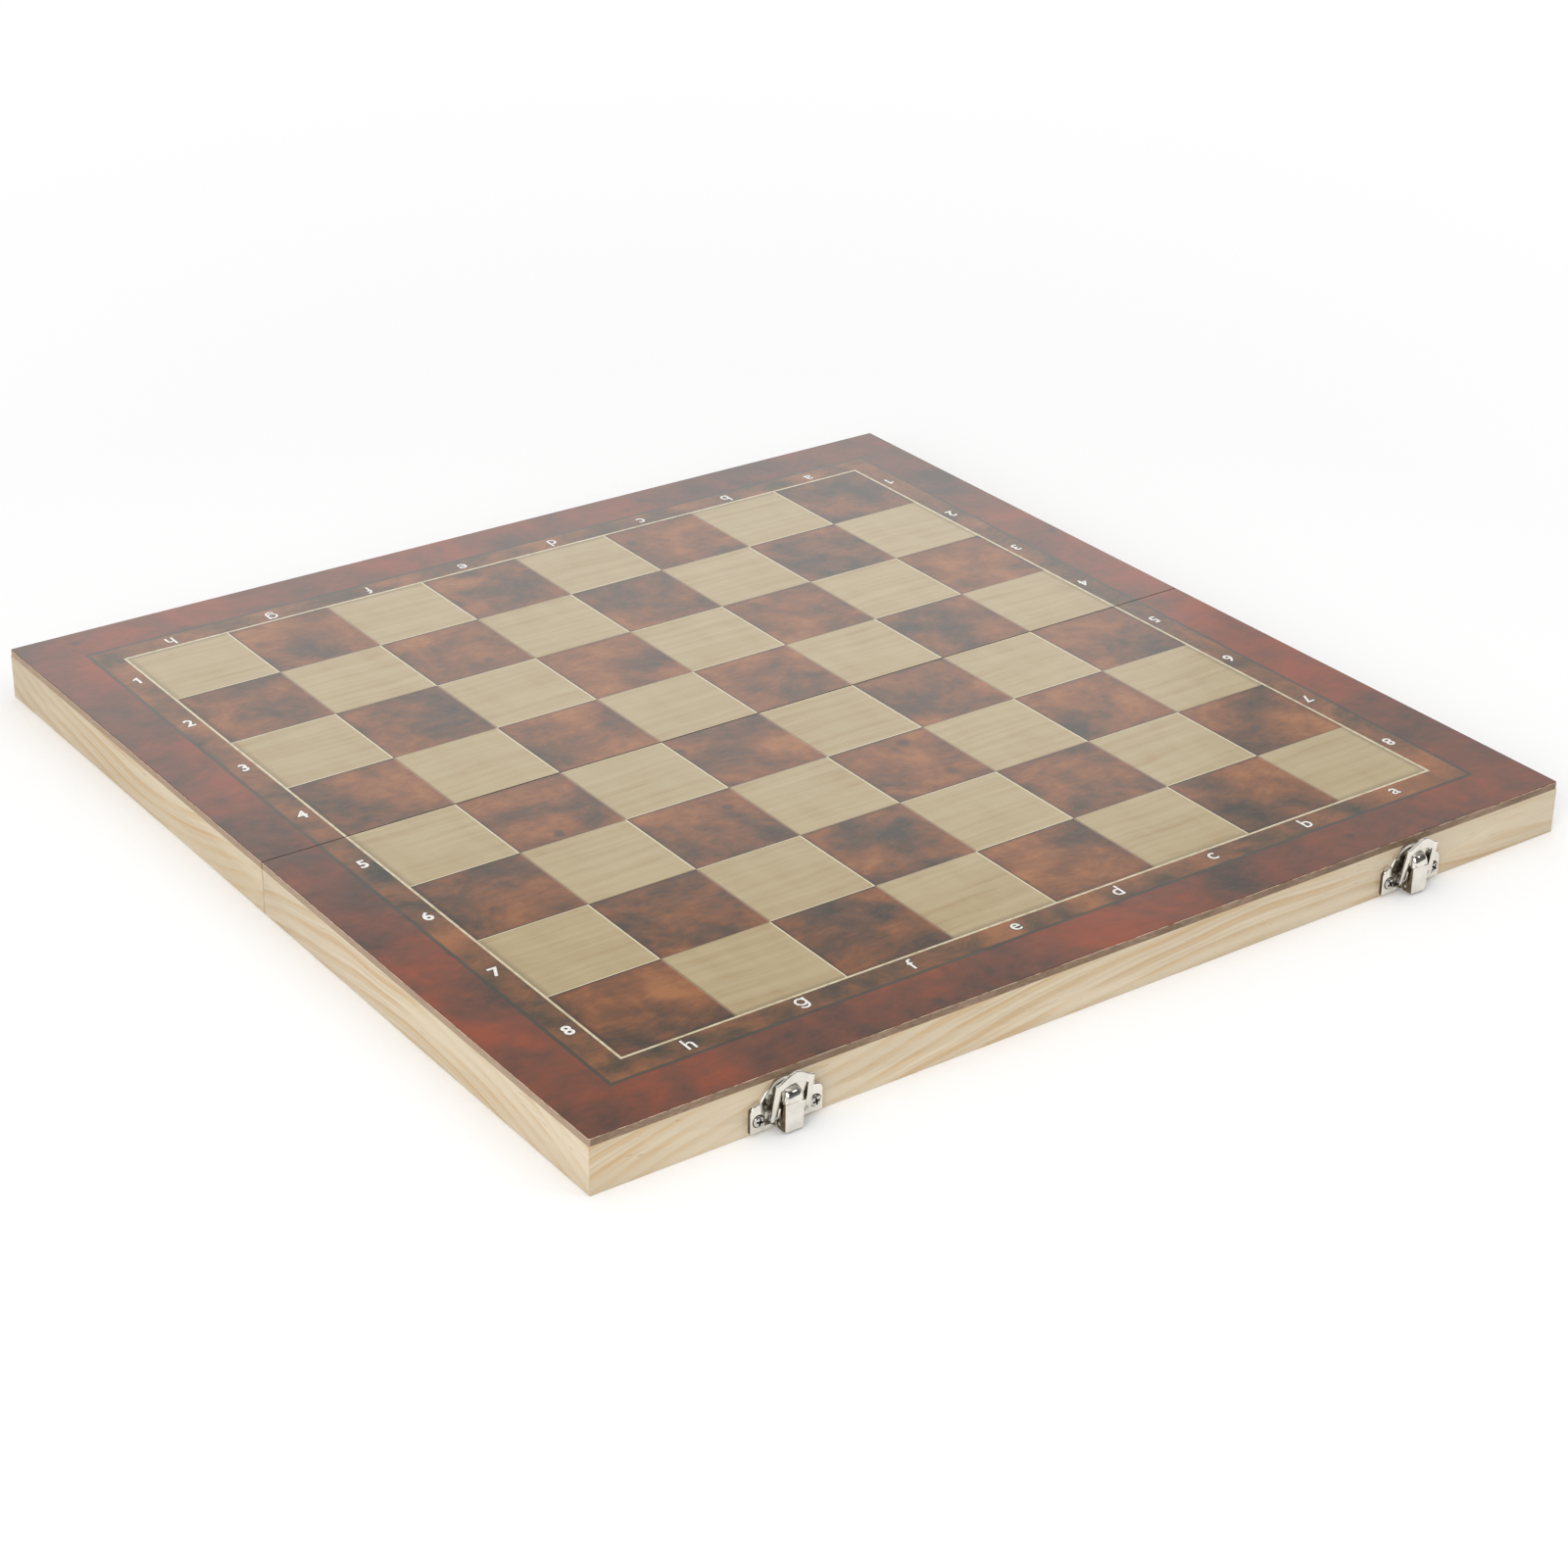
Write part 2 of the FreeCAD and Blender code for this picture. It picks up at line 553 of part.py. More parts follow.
def make_catch(hand, at):
    """The hook is set where the lowered hoop hangs when the trays are shut on each other."""
    body = new_body("catch_" + hand)
    wide = span(at, "catch_wide")
    block(body, "plate", wide, across("", HALF, "0", "catch_sheet"), ("catch_low", "catch_high"))
    seat = "web_low - (%s) - hook_gap" % HOOP_Z
    x = span(at, HOOK)
    block(body, "ledge", x, across("", HALF, "0", "hook_out"), ("%s - catch_sheet" % seat, seat))
    lip = across("", HALF, "(hook_out - catch_sheet)", "hook_out")
    block(body, "lip", x, lip, ("%s - catch_sheet" % seat, "%s + hook_lip" % seat))
    for spot, sx in screw_spots(at, CATCH_SCREWS):
        start = (sx, "%s - overrun" % HALF, "catch_screw_up")
        rod(body, "hole_" + spot, "y", "pan_shank_radius + plate_gap", start,
            "catch_sheet + overrun + overrun", cut=True)
    finish(body)


for half, side in HALVES:
    make_panel(half, side)
    if half == "front":
        make_outer_wall(half, side, BASE_SCREWS, "base_screw_up")
    else:
        make_outer_wall(half, side, CATCH_SCREWS, "catch_screw_up")
    make_side_wall(half, side, "left", "-")
    make_side_wall(half, side, "right", "")
    make_fold_wall(half, side)
    screws = []
    for hand, at in HINGES:
        make_leaf(half, side, hand, at)
        for spot, x in screw_spots(at, "leaf_screw_apart"):
            label = "flat_screw_%s_%s_%s" % (half, hand, spot)
            screws.append(make_flat_screw(label, x, "%sleaf_screw_out" % side))
    group("hinge_screws_" + half, screws)

for hand, at in HINGES:
    make_hinge_pin(hand, at)

latch_screws = []
catch_screws = []
for hand, at in LATCHES:
    make_base(hand, at)
    make_lever_pin(hand, at)
    make_lever(hand, at)
    make_hoop_pin(hand, at)
    make_hoop(hand, at)
    make_catch(hand, at)
    for spot, x in screw_spots(at, BASE_SCREWS):
        label = "base_screw_%s_%s" % (hand, spot)
        latch_screws.append(make_pan_screw(label, "-", x, "base_thick", "base_screw_up"))
    for spot, x in screw_spots(at, CATCH_SCREWS):
        label = "catch_screw_%s_%s" % (hand, spot)
        catch_screws.append(make_pan_screw(label, "", x, "catch_sheet", "catch_screw_up"))
group("latch_screws", latch_screws)
group("catch_screws", catch_screws)

doc.recompute()

for thing in doc.Objects:
    if "Invalid" in thing.State or "Error" in thing.State:
        raise RuntimeError("%s did not build: %s" % (thing.Label, thing.State))

os.makedirs("parts", exist_ok=True)
for node in nodes:
    shape = node.Shape
    if shape.isNull() or not shape.isValid():
        raise RuntimeError("%s has no sound shape" % node.Label)
    shape.exportStep("parts/%s.step" % node.Label)
    box = shape.BoundBox
    print("%-26s %d solids %9.1f mm3" % (node.Label, len(shape.Solids), shape.Volume))
    print("    x %.1f %.1f  y %.1f %.1f  z %.1f %.1f" % (
        box.XMin, box.XMax, box.YMin, box.YMax, box.ZMin, box.ZMax))
print("%d nodes" % len(nodes))
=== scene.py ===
import json
import math

import bmesh
import bpy
from mathutils import Matrix, Quaternion, Vector

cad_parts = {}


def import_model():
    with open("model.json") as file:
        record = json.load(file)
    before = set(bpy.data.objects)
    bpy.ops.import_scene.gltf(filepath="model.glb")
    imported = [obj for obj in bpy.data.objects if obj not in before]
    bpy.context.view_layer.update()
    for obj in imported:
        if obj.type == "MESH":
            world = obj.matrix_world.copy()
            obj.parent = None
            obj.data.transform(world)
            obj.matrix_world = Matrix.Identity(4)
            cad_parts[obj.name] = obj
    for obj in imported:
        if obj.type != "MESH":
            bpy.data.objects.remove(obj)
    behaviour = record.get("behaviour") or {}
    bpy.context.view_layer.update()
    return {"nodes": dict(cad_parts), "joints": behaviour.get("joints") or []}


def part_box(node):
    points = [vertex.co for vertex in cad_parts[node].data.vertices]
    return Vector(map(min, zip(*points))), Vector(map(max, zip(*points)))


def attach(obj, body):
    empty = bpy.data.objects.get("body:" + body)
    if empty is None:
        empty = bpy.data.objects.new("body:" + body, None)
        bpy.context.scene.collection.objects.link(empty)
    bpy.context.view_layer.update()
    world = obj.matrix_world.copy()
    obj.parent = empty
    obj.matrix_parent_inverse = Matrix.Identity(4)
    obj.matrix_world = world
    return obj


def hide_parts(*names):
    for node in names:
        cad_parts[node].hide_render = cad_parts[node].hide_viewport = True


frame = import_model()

# Driving sizes of the board and its print, in metres
MM = 0.001
panel_low, panel_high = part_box("front_panel")
HALF = (panel_high.x - panel_low.x) / 2
TOP = panel_high.z
UNDER = panel_low.z
FOLD = -panel_high.y
PITCH = 41.06 * MM
HALF_COUNT = 4
FIELD = HALF_COUNT * PITCH
FRAME_LINE = 0.9 * MM
BAND_OUT = 174.4 * MM
BORDER_LINE = 1.1 * MM
FIGURES_IN = 0.5 * MM
BAND_MIDDLE = (FIELD + BAND_OUT) / 2 - FIGURES_IN
DIGIT = 7.0 * MM
LETTER = 8.3 * MM
FILM = 0.004 * MM
INK_LIFT = 0.02 * MM
INK_EDGE_WIDE = 0.26 * MM
MERGE = 0.001 * MM
FLOOR_DROP = 0.1 * MM

# How far the pressed latch plates and the catch plates stand out from their walls, in millimetres
LATCH_FRONT = 1.75
CATCH_FRONT = 0.9

# The share of a face's normal along an axis from which the face counts as facing that way
FACING = 0.9
ALONG_FOLD = Vector((1, 0, 0))
ACROSS_FOLD = Vector((0, 1, 0))

# Gloss of the lacquer over the print
LACQUER_LOW, LACQUER_HIGH = 0.1, 0.17
LACQUER_IOR = 1.5


def tone(red, green, blue):
    """A colour as it shows on the screen, 0 to 255, turned into the linear colour of a shader."""
    lift, power = 0.055, 2.4
    return tuple(((c / 255 + lift) / (1 + lift)) ** power for c in (red, green, blue)) + (1.0,)


class Shader:
    """The nodes of one material or world, made by short calls. A value is a number, a colour or a socket."""

    def __init__(self, name, kind="materials"):
        self.owner = getattr(bpy.data, kind).new(name)
        self.owner.use_nodes = True
        self.nodes = self.owner.node_tree.nodes
        self.links = self.owner.node_tree.links
        self.nodes.clear()
        self.place = self.add("TexCoord").outputs["Object"]

    def add(self, kind, inputs=None, **settings):
        node = self.nodes.new("ShaderNode" + kind)
        for key, value in settings.items():
            setattr(node, key, value)
        for key, value in (inputs or {}).items():
            if isinstance(value, bpy.types.NodeSocket):
                self.links.new(value, node.inputs[key])
            else:
                node.inputs[key].default_value = value
        return node

    def math(self, operation, a, b=0.0):
        return self.add("Math", {0: a, 1: b}, operation=operation).outputs[0]

    def gather(self, operation, values):
        """Many values made one by an operation of two."""
        result = values[0]
        for value in values[1:]:
            result = self.math(operation, result, value)
        return result

    def plus(self, *values):
        return self.gather("ADD", values)

    def times(self, *values):
        return self.gather("MULTIPLY", values)

    def highest(self, *values):
        return self.gather("MAXIMUM", values)

    def blend(self, *shares):
        """The sum of values that each have a share."""
        return self.plus(*[self.times(value, share) for value, share in shares])

    def inverse(self, value):
        return self.math("SUBTRACT", 1.0, value)

    def split(self, vector):
        return self.add("SeparateXYZ", {0: vector}).outputs[:3]

    def join(self, x, y, z=0.0):
        return self.add("CombineXYZ", {0: x, 1: y, 2: z}).outputs[0]

    def reach(self):
        """The larger of a place's distances from the middle of the board, along the fold and across it."""
        x, y = self.split(self.place)[:2]
        return self.highest(self.math("ABSOLUTE", x), self.math("ABSOLUTE", y))

    def stretch(self, vector, scale):
        return self.add("VectorMath", {0: vector, 1: scale}, operation="MULTIPLY").outputs[0]

    def shift(self, vector, offset):
        return self.add("VectorMath", {0: vector, 1: offset}, operation="ADD").outputs[0]

    def warp(self, vector, scale, reach):
        """The place pushed about by a slow noise, by up to half the reach."""
        cloud = self.add("TexNoise", {"Vector": vector, "Scale": scale, "Detail": 2.0}).outputs["Color"]
        push = self.stretch(self.shift(cloud, (-0.5, -0.5, -0.5)), (reach, reach, reach))
        return self.shift(vector, push)

    def noise(self, vector, scale, detail=2.0, roughness=0.5):
        inputs = {"Vector": vector, "Scale": scale, "Detail": detail, "Roughness": roughness}
        return self.add("TexNoise", inputs).outputs["Fac"]

    def streaks(self, vector, density, detail=2.0, roughness=0.5):
        """Noise drawn out along an axis; density is how fine it is along each of the three."""
        return self.noise(self.stretch(vector, density), 1.0, detail, roughness)

    def step(self, value, start, end):
        """0 before start, 1 after end, smooth between; the other way round if end is below start."""
        inputs = {"Value": value, "From Min": start, "From Max": end}
        return self.add("MapRange", inputs, interpolation_type="SMOOTHSTEP").outputs[0]

    def fit(self, value, low, high, start=0.0, end=1.0):
        """The value between start and end spread evenly from low to high."""
        inputs = {"Value": value, "From Min": start, "From Max": end, "To Min": low, "To Max": high}
        return self.add("MapRange", inputs).outputs[0]

    def line(self, distance, width):
        """A printed line along an edge, soft on its inner side."""
        return self.step(distance, width * 1.1, width * 0.7)

    def ramp(self, factor, *stops):
        node = self.add("ValToRGB", {0: factor})
        elements = node.color_ramp.elements
        while len(elements) < len(stops):
            elements.new(0.5)
        for element, (position, colour) in zip(elements, stops):
            element.position = position
            element.color = colour
        return node.outputs[0]

    def mix(self, factor, a, b):
        """A colour between two others."""
        return self.add("Mix", {0: factor, 6: a, 7: b}, data_type="RGBA").outputs[2]

    def between(self, factor, a, b):
        """A number between two others."""
        return self.add("Mix", {0: factor, 2: a, 3: b}).outputs[0]

    def bump(self, height, distance, strength, under=None):
        inputs = {"Height": height, "Distance": distance, "Strength": strength}
        if under is not None:
            inputs["Normal"] = under
        return self.add("Bump", inputs).outputs[0]

    def finish(self, **inputs):
        named = {key.replace("_", " "): value for key, value in inputs.items()}
        surface = self.add("BsdfPrincipled", named).outputs[0]
        self.add("OutputMaterial", {"Surface": surface})
        return self.owner


# Wood figures of the print

def lacquered(s, colour):
    """The shared gloss coat of the print, a little uneven and smeared."""
    smear = s.noise(s.place, scale=16.0, detail=3.0, roughness=0.6)
    ripple = s.noise(s.place, scale=140.0, detail=1.0)
    normal = s.bump(ripple, distance=0.05 * MM, strength=0.5)
    rough = s.fit(smear, LACQUER_LOW, LACQUER_HIGH)
    return s.finish(Base_Color=colour, Roughness=rough, IOR=LACQUER_IOR, Normal=normal)


def burl_colour(s, place, size, dark, low, middle, bright):
    """Clouded root wood with blotches, a fine curl and small dark eyes; size is that of the clouds."""
    bent = s.warp(place, scale=0.8 / size, reach=0.6 * size)
    cloud = s.noise(bent, scale=1.0 / size, detail=4.0, roughness=0.6)
    blotch = s.noise(s.shift(bent, (0.3, 0.1, 0.2)), scale=75.0)
    curl = s.noise(s.stretch(bent, (1.0, 2.2, 1.0)), scale=240.0, detail=3.0, roughness=0.65)
    level = s.blend((cloud, 0.6), (blotch, 0.25), (curl, 0.15))
    colour = s.ramp(level, (0.37, dark), (0.45, low), (0.53, middle), (0.63, bright))
    cells = s.add("TexVoronoi", {"Vector": s.warp(place, scale=150.0, reach=4 * MM), "Scale": 85.0})
    chosen = s.step(s.split(cells.outputs["Color"])[0], 0.86, 0.88)
    eye = s.times(s.step(cells.outputs["Distance"], 0.3, 0.1), chosen, 0.7)
    return s.mix(eye, colour, dark)


def maple_colour(s, place, chance):
    """Pale wood with a fine wavy grain along the fold and a faint cross figure, darkened by chance."""
    bent = s.warp(place, scale=22.0, reach=7 * MM)
    grain = s.streaks(bent, (16.0, 330.0, 16.0), detail=3.0, roughness=0.6)
    flame = s.streaks(bent, (120.0, 40.0, 40.0))
    level = s.blend((grain, 0.7), (flame, 0.3))
    colour = s.ramp(level, (0.32, tone(168, 143, 101)), (0.44, tone(176, 156, 117)),
                    (0.56, tone(181, 163, 125)), (0.7, tone(186, 168, 131)))
    return s.mix(s.times(chance, 0.1), colour, tone(158, 138, 100))


class Square:
    """Where a point lies in its square, how that square is shaded, and where it is cut from the wood."""

    def __init__(self, s):
        x, y = s.split(s.place)[:2]
        column = s.plus(s.math("DIVIDE", x, PITCH), HALF_COUNT)
        row = s.plus(s.math("DIVIDE", y, PITCH), HALF_COUNT)
        file, rank = s.math("FLOOR", column), s.math("FLOOR", row)
        self.even = s.inverse(s.math("MODULO", file, 2.0))
        self.left = s.times(s.math("FRACT", column), PITCH)
        self.right = s.math("SUBTRACT", PITCH, self.left)
        self.front = s.times(s.math("FRACT", row), PITCH)
        self.back = s.math("SUBTRACT", PITCH, self.front)
        chance = s.add("TexWhiteNoise", {"Vector": s.join(file, rank)}, noise_dimensions="3D")
        self.chance = chance.outputs["Value"]
        self.cut = s.shift(s.place, chance.outputs["Color"])
        shade_start, shade_full, strength = 3.2 * MM, 0.6 * MM, 0.4
        self.shade = s.times(s.step(s.reach(), FIELD - shade_start, FIELD - shade_full), strength)


def inked(s, colour, lines):
    """The colour with printed lines over it, each a strength and an ink."""
    for strength, ink_colour in lines:
        colour = s.mix(strength, colour, ink_colour)
    return colour


def print_light():
    """A pale square with its printed bevels."""
    s = Shader("print_light")
    at = Square(s)
    plain = s.inverse(at.even)
    thin, wide = 0.5 * MM, 0.6 * MM
    front, back = s.line(at.front, thin), s.line(at.back, thin)
    colour = maple_colour(s, at.cut, at.chance)
    lines = (
        (at.shade, tone(84, 70, 50)),
        (s.times(s.line(at.right, wide), 0.85), tone(226, 214, 182)),
        (s.times(s.line(at.left, thin), 0.6), tone(84, 70, 54)),
        (s.times(at.even, front, 0.85), tone(220, 206, 172)),
        (s.times(at.even, back, 0.7), tone(214, 200, 166)),
        (s.times(plain, s.highest(front, back), 0.35), tone(112, 84, 58)),
    )
    return lacquered(s, inked(s, colour, lines))


def print_dark():
    """A burl square with its printed bevels, dimmed along its back and left edges."""
    s = Shader("print_dark")
    at = Square(s)
    plain = s.inverse(at.even)
    clouds, side_line, front_line, back_line = 30 * MM, 0.4 * MM, 0.45 * MM, 0.5 * MM
    back_dim, left_dim = 2.6 * MM, 2.2 * MM
    rows = s.highest(s.line(at.front, front_line), s.line(at.back, back_line))
    dim = s.highest(s.step(at.back, back_dim, 0.0), s.step(at.left, left_dim, 0.0))
    colour = burl_colour(s, at.cut, clouds, tone(56, 46, 36), tone(94, 62, 39),
                         tone(128, 77, 40), tone(158, 101, 54))
    lines = (
        (at.shade, tone(40, 28, 20)),
        (s.times(dim, 0.35), tone(44, 30, 24)),
        (s.times(s.line(at.left, side_line), 0.75), tone(24, 16, 12)),
        (s.times(s.line(at.right, side_line), 0.5), tone(182, 142, 116)),
        (s.times(at.even, rows, 0.9), tone(16, 12, 10)),
        (s.times(plain, rows, 0.45), tone(44, 28, 20)),
    )
    return lacquered(s, inked(s, colour, lines))


def print_line():
    """The cream line round the squares."""
    s = Shader("print_line")
    thin = s.noise(s.place, scale=400.0)
    return lacquered(s, s.mix(s.step(thin, 0.4, 0.75), tone(214, 202, 170), tone(190, 174, 138)))


def border_line(s, colour):
    """The soft dark line between the band and the border, over their own colours."""
    gap = s.math("ABSOLUTE", s.math("SUBTRACT", s.reach(), BAND_OUT))
    strength = s.times(s.step(gap, BORDER_LINE, BORDER_LINE * 0.25), 0.82)
    return s.mix(strength, colour, s.mix(s.noise(s.place, scale=60.0), tone(38, 42, 36), tone(70, 74, 64)))


def print_band():
    """The band that carries the coordinates."""
    s = Shader("print_band")
    clouds = 26 * MM
    place = s.shift(s.place, (0.56, 1.83, 0.0))
    colour = burl_colour(s, place, clouds, tone(54, 50, 40), tone(88, 64, 42),
                         tone(122, 78, 46), tone(152, 96, 54))
    return lacquered(s, border_line(s, colour))


def print_border():
    """The wide outer border of smooth red wood."""
    s = Shader("print_border")
    clouds = 56 * MM
    place = s.shift(s.place, (1.89, 1.3, 0.0))
    colour = burl_colour(s, place, clouds, tone(62, 50, 43), tone(92, 58, 43),
                         tone(116, 63, 42), tone(142, 66, 36))
    return lacquered(s, border_line(s, colour))


# Other finishes

def panel_edge(name, low, middle, bright, rim):
    """The sawn and sanded edge of the fibreboard, with painted light on its left and right ends; rim is the
    colour of painted specks on its upper arris.
    """
    s = Shader(name)
    x, _, z = s.split(s.place)
    lit_end_start, lit_end_full = 0.8 * MM, 0.4 * MM
    rim_start, rim_full = 0.34 * MM, 0.22 * MM
    fibre = s.streaks(s.place, (500.0, 500.0, 2600.0), detail=4.0, roughness=0.7)
    cloud = s.noise(s.place, scale=60.0, detail=3.0)
    level = s.blend((fibre, 0.6), (cloud, 0.4))
    colour = s.ramp(level, (0.3, low), (0.52, middle), (0.85, bright))
    # Painted light: the ends of the edge at the left and right of the board are made lighter
    side = s.step(s.math("ABSOLUTE", x), HALF - lit_end_start, HALF - lit_end_full)
    colour = s.mix(s.times(side, 0.5), colour, bright)
    # Broken specks of the rim colour along the upper arris: a painted highlight on the panel edge, part of
    # the painted shade on the fold edge
    arris_specks = s.step(s.noise(s.place, scale=330.0), 0.35, 0.6)
    arris = s.times(s.step(z, TOP - rim_start, TOP - rim_full), arris_specks, 0.75)
    colour = s.mix(arris, colour, rim)
    normal = s.bump(fibre, distance=0.08 * MM, strength=0.6)
    return s.finish(Base_Color=colour, Roughness=0.62, Normal=normal)


def panel_lining():
    """The inner face of a panel: a plain paper with a pale wood print."""
    s = Shader("panel_lining")
    bent = s.warp(s.place, scale=8.0, reach=20 * MM)
    grain = s.streaks(bent, (6.0, 150.0, 6.0), detail=5.0, roughness=0.6)
    pore = s.streaks(s.place, (90.0, 900.0, 90.0))
    level = s.blend((grain, 0.75), (pore, 0.25))
    colour = s.ramp(level, (0.3, tone(150, 116, 76)), (0.5, tone(186, 154, 110)),
                    (0.7, tone(206, 178, 136)))
    normal = s.bump(pore, distance=0.03 * MM, strength=0.5)
    return s.finish(Base_Color=colour, Roughness=s.fit(pore, 0.4, 0.6), Normal=normal)


def late_wood(s, height, ring, start, full, end):
    """The dark part of the growth rings: it comes slowly and stops short, at shares of the ring's width."""
    share = s.math("FRACT", s.math("DIVIDE", height, ring))
    return s.times(s.step(share, start, full), s.step(share, 1.0, end))


def pine(name, lengthwise, middle, bow, seed):
    """Pale softwood: growth rings that run along the wall and bow about its middle, fibres and flecks."""
    s = Shader(name)
    wide_ring, thin_ring, sway, lean = 5.0 * MM, 1.9 * MM, 14 * MM, 0.3
    x, y, z = s.split(s.place)
    run, depth = (x, y) if lengthwise == "x" else (y, x)
    place = s.shift(s.join(run, depth, z), (seed, 0.0, 0.0))
    slow = s.streaks(place, (9.0, 30.0, 30.0))
    from_middle = s.math("SUBTRACT", run, middle)
    curve = s.times(from_middle, from_middle, bow)
    height = s.plus(z, curve, s.times(slow, sway), s.times(depth, lean))
    late = late_wood(s, height, wide_ring, 0.3, 0.84, 0.88)
    thin = late_wood(s, height, thin_ring, 0.4, 0.8, 0.85)
    fade = s.streaks(place, (16.0, 90.0, 90.0), detail=3.0)
    fibre = s.streaks(place, (26.0, 1400.0, 1400.0), detail=4.0, roughness=0.65)
    fleck = s.streaks(place, (150.0, 1500.0, 1500.0))
    cloud = s.streaks(place, (7.0, 60.0, 60.0), detail=3.0)
    colour = s.ramp(cloud, (0.3, tone(197, 180, 152)), (0.5, tone(208, 193, 167)),
                    (0.7, tone(215, 200, 175)))
    colour = s.mix(s.times(late, s.step(fade, 0.28, 0.6), 0.62), colour, tone(193, 160, 113))
    colour = s.mix(s.times(thin, s.step(fade, 0.42, 0.7), 0.4), colour, tone(184, 152, 108))
    colour = s.mix(s.times(s.step(fibre, 0.5, 0.75), 0.35), colour, tone(186, 160, 122))
    colour = s.mix(s.times(s.step(fleck, 0.68, 0.8), 0.5), colour, tone(138, 108, 72))
    grain = s.plus(s.times(late, 0.5), fibre)
    normal = s.bump(grain, distance=0.05 * MM, strength=0.5)
    return s.finish(Base_Color=colour, Roughness=s.fit(fibre, 0.5, 0.64), Normal=normal)


def metal(name, colour, shade, rough, brushed):
    """Plated sheet with fine rubbing marks and a slow unevenness."""
    s = Shader(name)
    rub = s.streaks(s.place, brushed, detail=3.0, roughness=0.6)
    cloud = s.noise(s.place, scale=220.0, detail=3.0, roughness=0.6)
    mixed = s.mix(s.step(cloud, 0.35, 0.7), colour, shade)
    level = s.fit(s.blend((rub, 0.5), (cloud, 0.5)), rough * 0.7, rough * 1.3)
    normal = s.bump(rub, distance=0.004 * MM, strength=0.6)
    normal = s.bump(cloud, distance=0.03 * MM, strength=0.35, under=normal)
    return s.finish(Base_Color=mixed, Metallic=1.0, Roughness=level, Normal=normal)


def ink(name, colour, worn):
    """Printed figure colour, a little thin in places, under the same lacquer as the print."""
    s = Shader(name)
    thin = s.noise(s.place, scale=700.0, detail=3.0, roughness=0.6)
    mixed = s.mix(s.step(thin, 0.45, 0.8), colour, worn)
    smear = s.noise(s.place, scale=16.0, detail=4.0, roughness=0.6)
    return s.finish(Base_Color=mixed, Roughness=s.fit(smear, LACQUER_LOW, LACQUER_HIGH), IOR=LACQUER_IOR)


# Shapes

def arc(across, up, radius, start, end, count=9):
    """Points of a round stretch, between two angles in degrees."""
    turns = [math.radians(start + (end - start) * k / (count - 1)) for k in range(count)]
    return [(across + radius * math.cos(a), up + radius * math.sin(a)) for a in turns]


def mirrored(points):
    return [(-a, b) for a, b in reversed(points)]


def dome(count):
    """Angles from the edge of a dome up to the last one before its top."""
    return [math.pi / 2 * k / count for k in range(count)]


def prism(bm, low, high):
    """A closed solid raised from one outline to another with the same number of points."""
    base = bm.faces.new([bm.verts.new(p) for p in low])
    raised = bmesh.ops.extrude_face_region(bm, geom=[base])["geom"]
    top = next(part for part in raised if isinstance(part, bmesh.types.BMFace))
    for vert, point in zip(top.verts, high):
        vert.co = point


def turned(profile, centre, start, axis, steps):
    """A solid of revolution with flat ends; its profile is radius and place on the axis, in millimetres."""
    bm = bmesh.new()
    verts = [bm.verts.new(centre + (radius * start + along * axis) * MM) for radius, along in profile]
    edges = [bm.edges.new(pair) for pair in zip(verts, verts[1:])]
    bmesh.ops.spin(bm, geom=verts + edges, cent=centre, axis=axis, angle=math.tau, steps=steps,
                   use_merge=True)
    bmesh.ops.holes_fill(bm, edges=[e for e in bm.edges if e.is_boundary])
    bmesh.ops.recalc_face_normals(bm, faces=bm.faces)
    return bm


def sharp_edges(bm, angle):
    """The edges at which two faces turn by more than an angle in degrees."""
    return [e for e in bm.edges if e.is_manifold and e.calc_face_angle() > math.radians(angle)]


def round_edges(bm, edges, radius, segments, clamp=True):
    """Rounds edges; with clamp only as far as the faces beside them leave room."""
    bmesh.ops.bevel(bm, geom=edges, offset=radius, segments=segments, profile=0.5, affect="EDGES",
                    clamp_overlap=clamp, material=-1)


def block(low, high, radius):
    """A solid between two outlines, with its sharp edges rounded by a radius in millimetres."""
    sharp = 50.0
    bm = bmesh.new()
    prism(bm, low, high)
    bmesh.ops.recalc_face_normals(bm, faces=bm.faces)
    round_edges(bm, sharp_edges(bm, sharp), radius * MM, segments=3)
    return bm


def paint(bm, picks):
    """Gives the faces that a rule picks the second material of their piece."""
    for face in bm.faces:
        if picks(face):
            face.material_index = 1


def add_part(bm, part):
    """Adds a finished part to the mesh of its piece."""
    mesh = bpy.data.meshes.new("part")
    part.to_mesh(mesh)
    part.free()
    bm.from_mesh(mesh)
    bpy.data.meshes.remove(mesh)


def mesh_object(name, bm):
    mesh = bpy.data.meshes.new(name)
    bm.to_mesh(mesh)
    bm.free()
    thing = bpy.data.objects.new(name, mesh)
    bpy.context.scene.collection.objects.link(thing)
    return thing


# Pieces

def piece(name, bm, materials, body, nodes, angle=30.0):
    """A finished mesh that stands for CAD nodes and moves with a body; edges above the angle stay sharp."""
    bmesh.ops.recalc_face_normals(bm, faces=bm.faces)
    for face in bm.faces:
        face.smooth = True
    for edge in bm.edges:
        edge.smooth = edge.is_manifold and edge.calc_face_angle() < math.radians(angle)
    thing = mesh_object(name, bm)
    for material in materials:
        thing.data.materials.append(material)
    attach(thing, body)
    if nodes:
        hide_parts(*nodes)


def dressed(node, body, material, round_by):
    """A copy of a CAD solid with its flat faces whole again and its edges rounded."""
    flat, sharp = 0.5, 30.0
    bm = bmesh.new()
    bm.from_mesh(frame["nodes"][node].data)
    bmesh.ops.remove_doubles(bm, verts=bm.verts, dist=MERGE)
    bmesh.ops.dissolve_limit(bm, angle_limit=math.radians(flat), verts=bm.verts, edges=bm.edges)
    round_edges(bm, sharp_edges(bm, sharp), round_by, segments=2)
    for face in bm.faces:
        face.material_index = 0
    piece("%s_look" % node, bm, [material], body, [node])


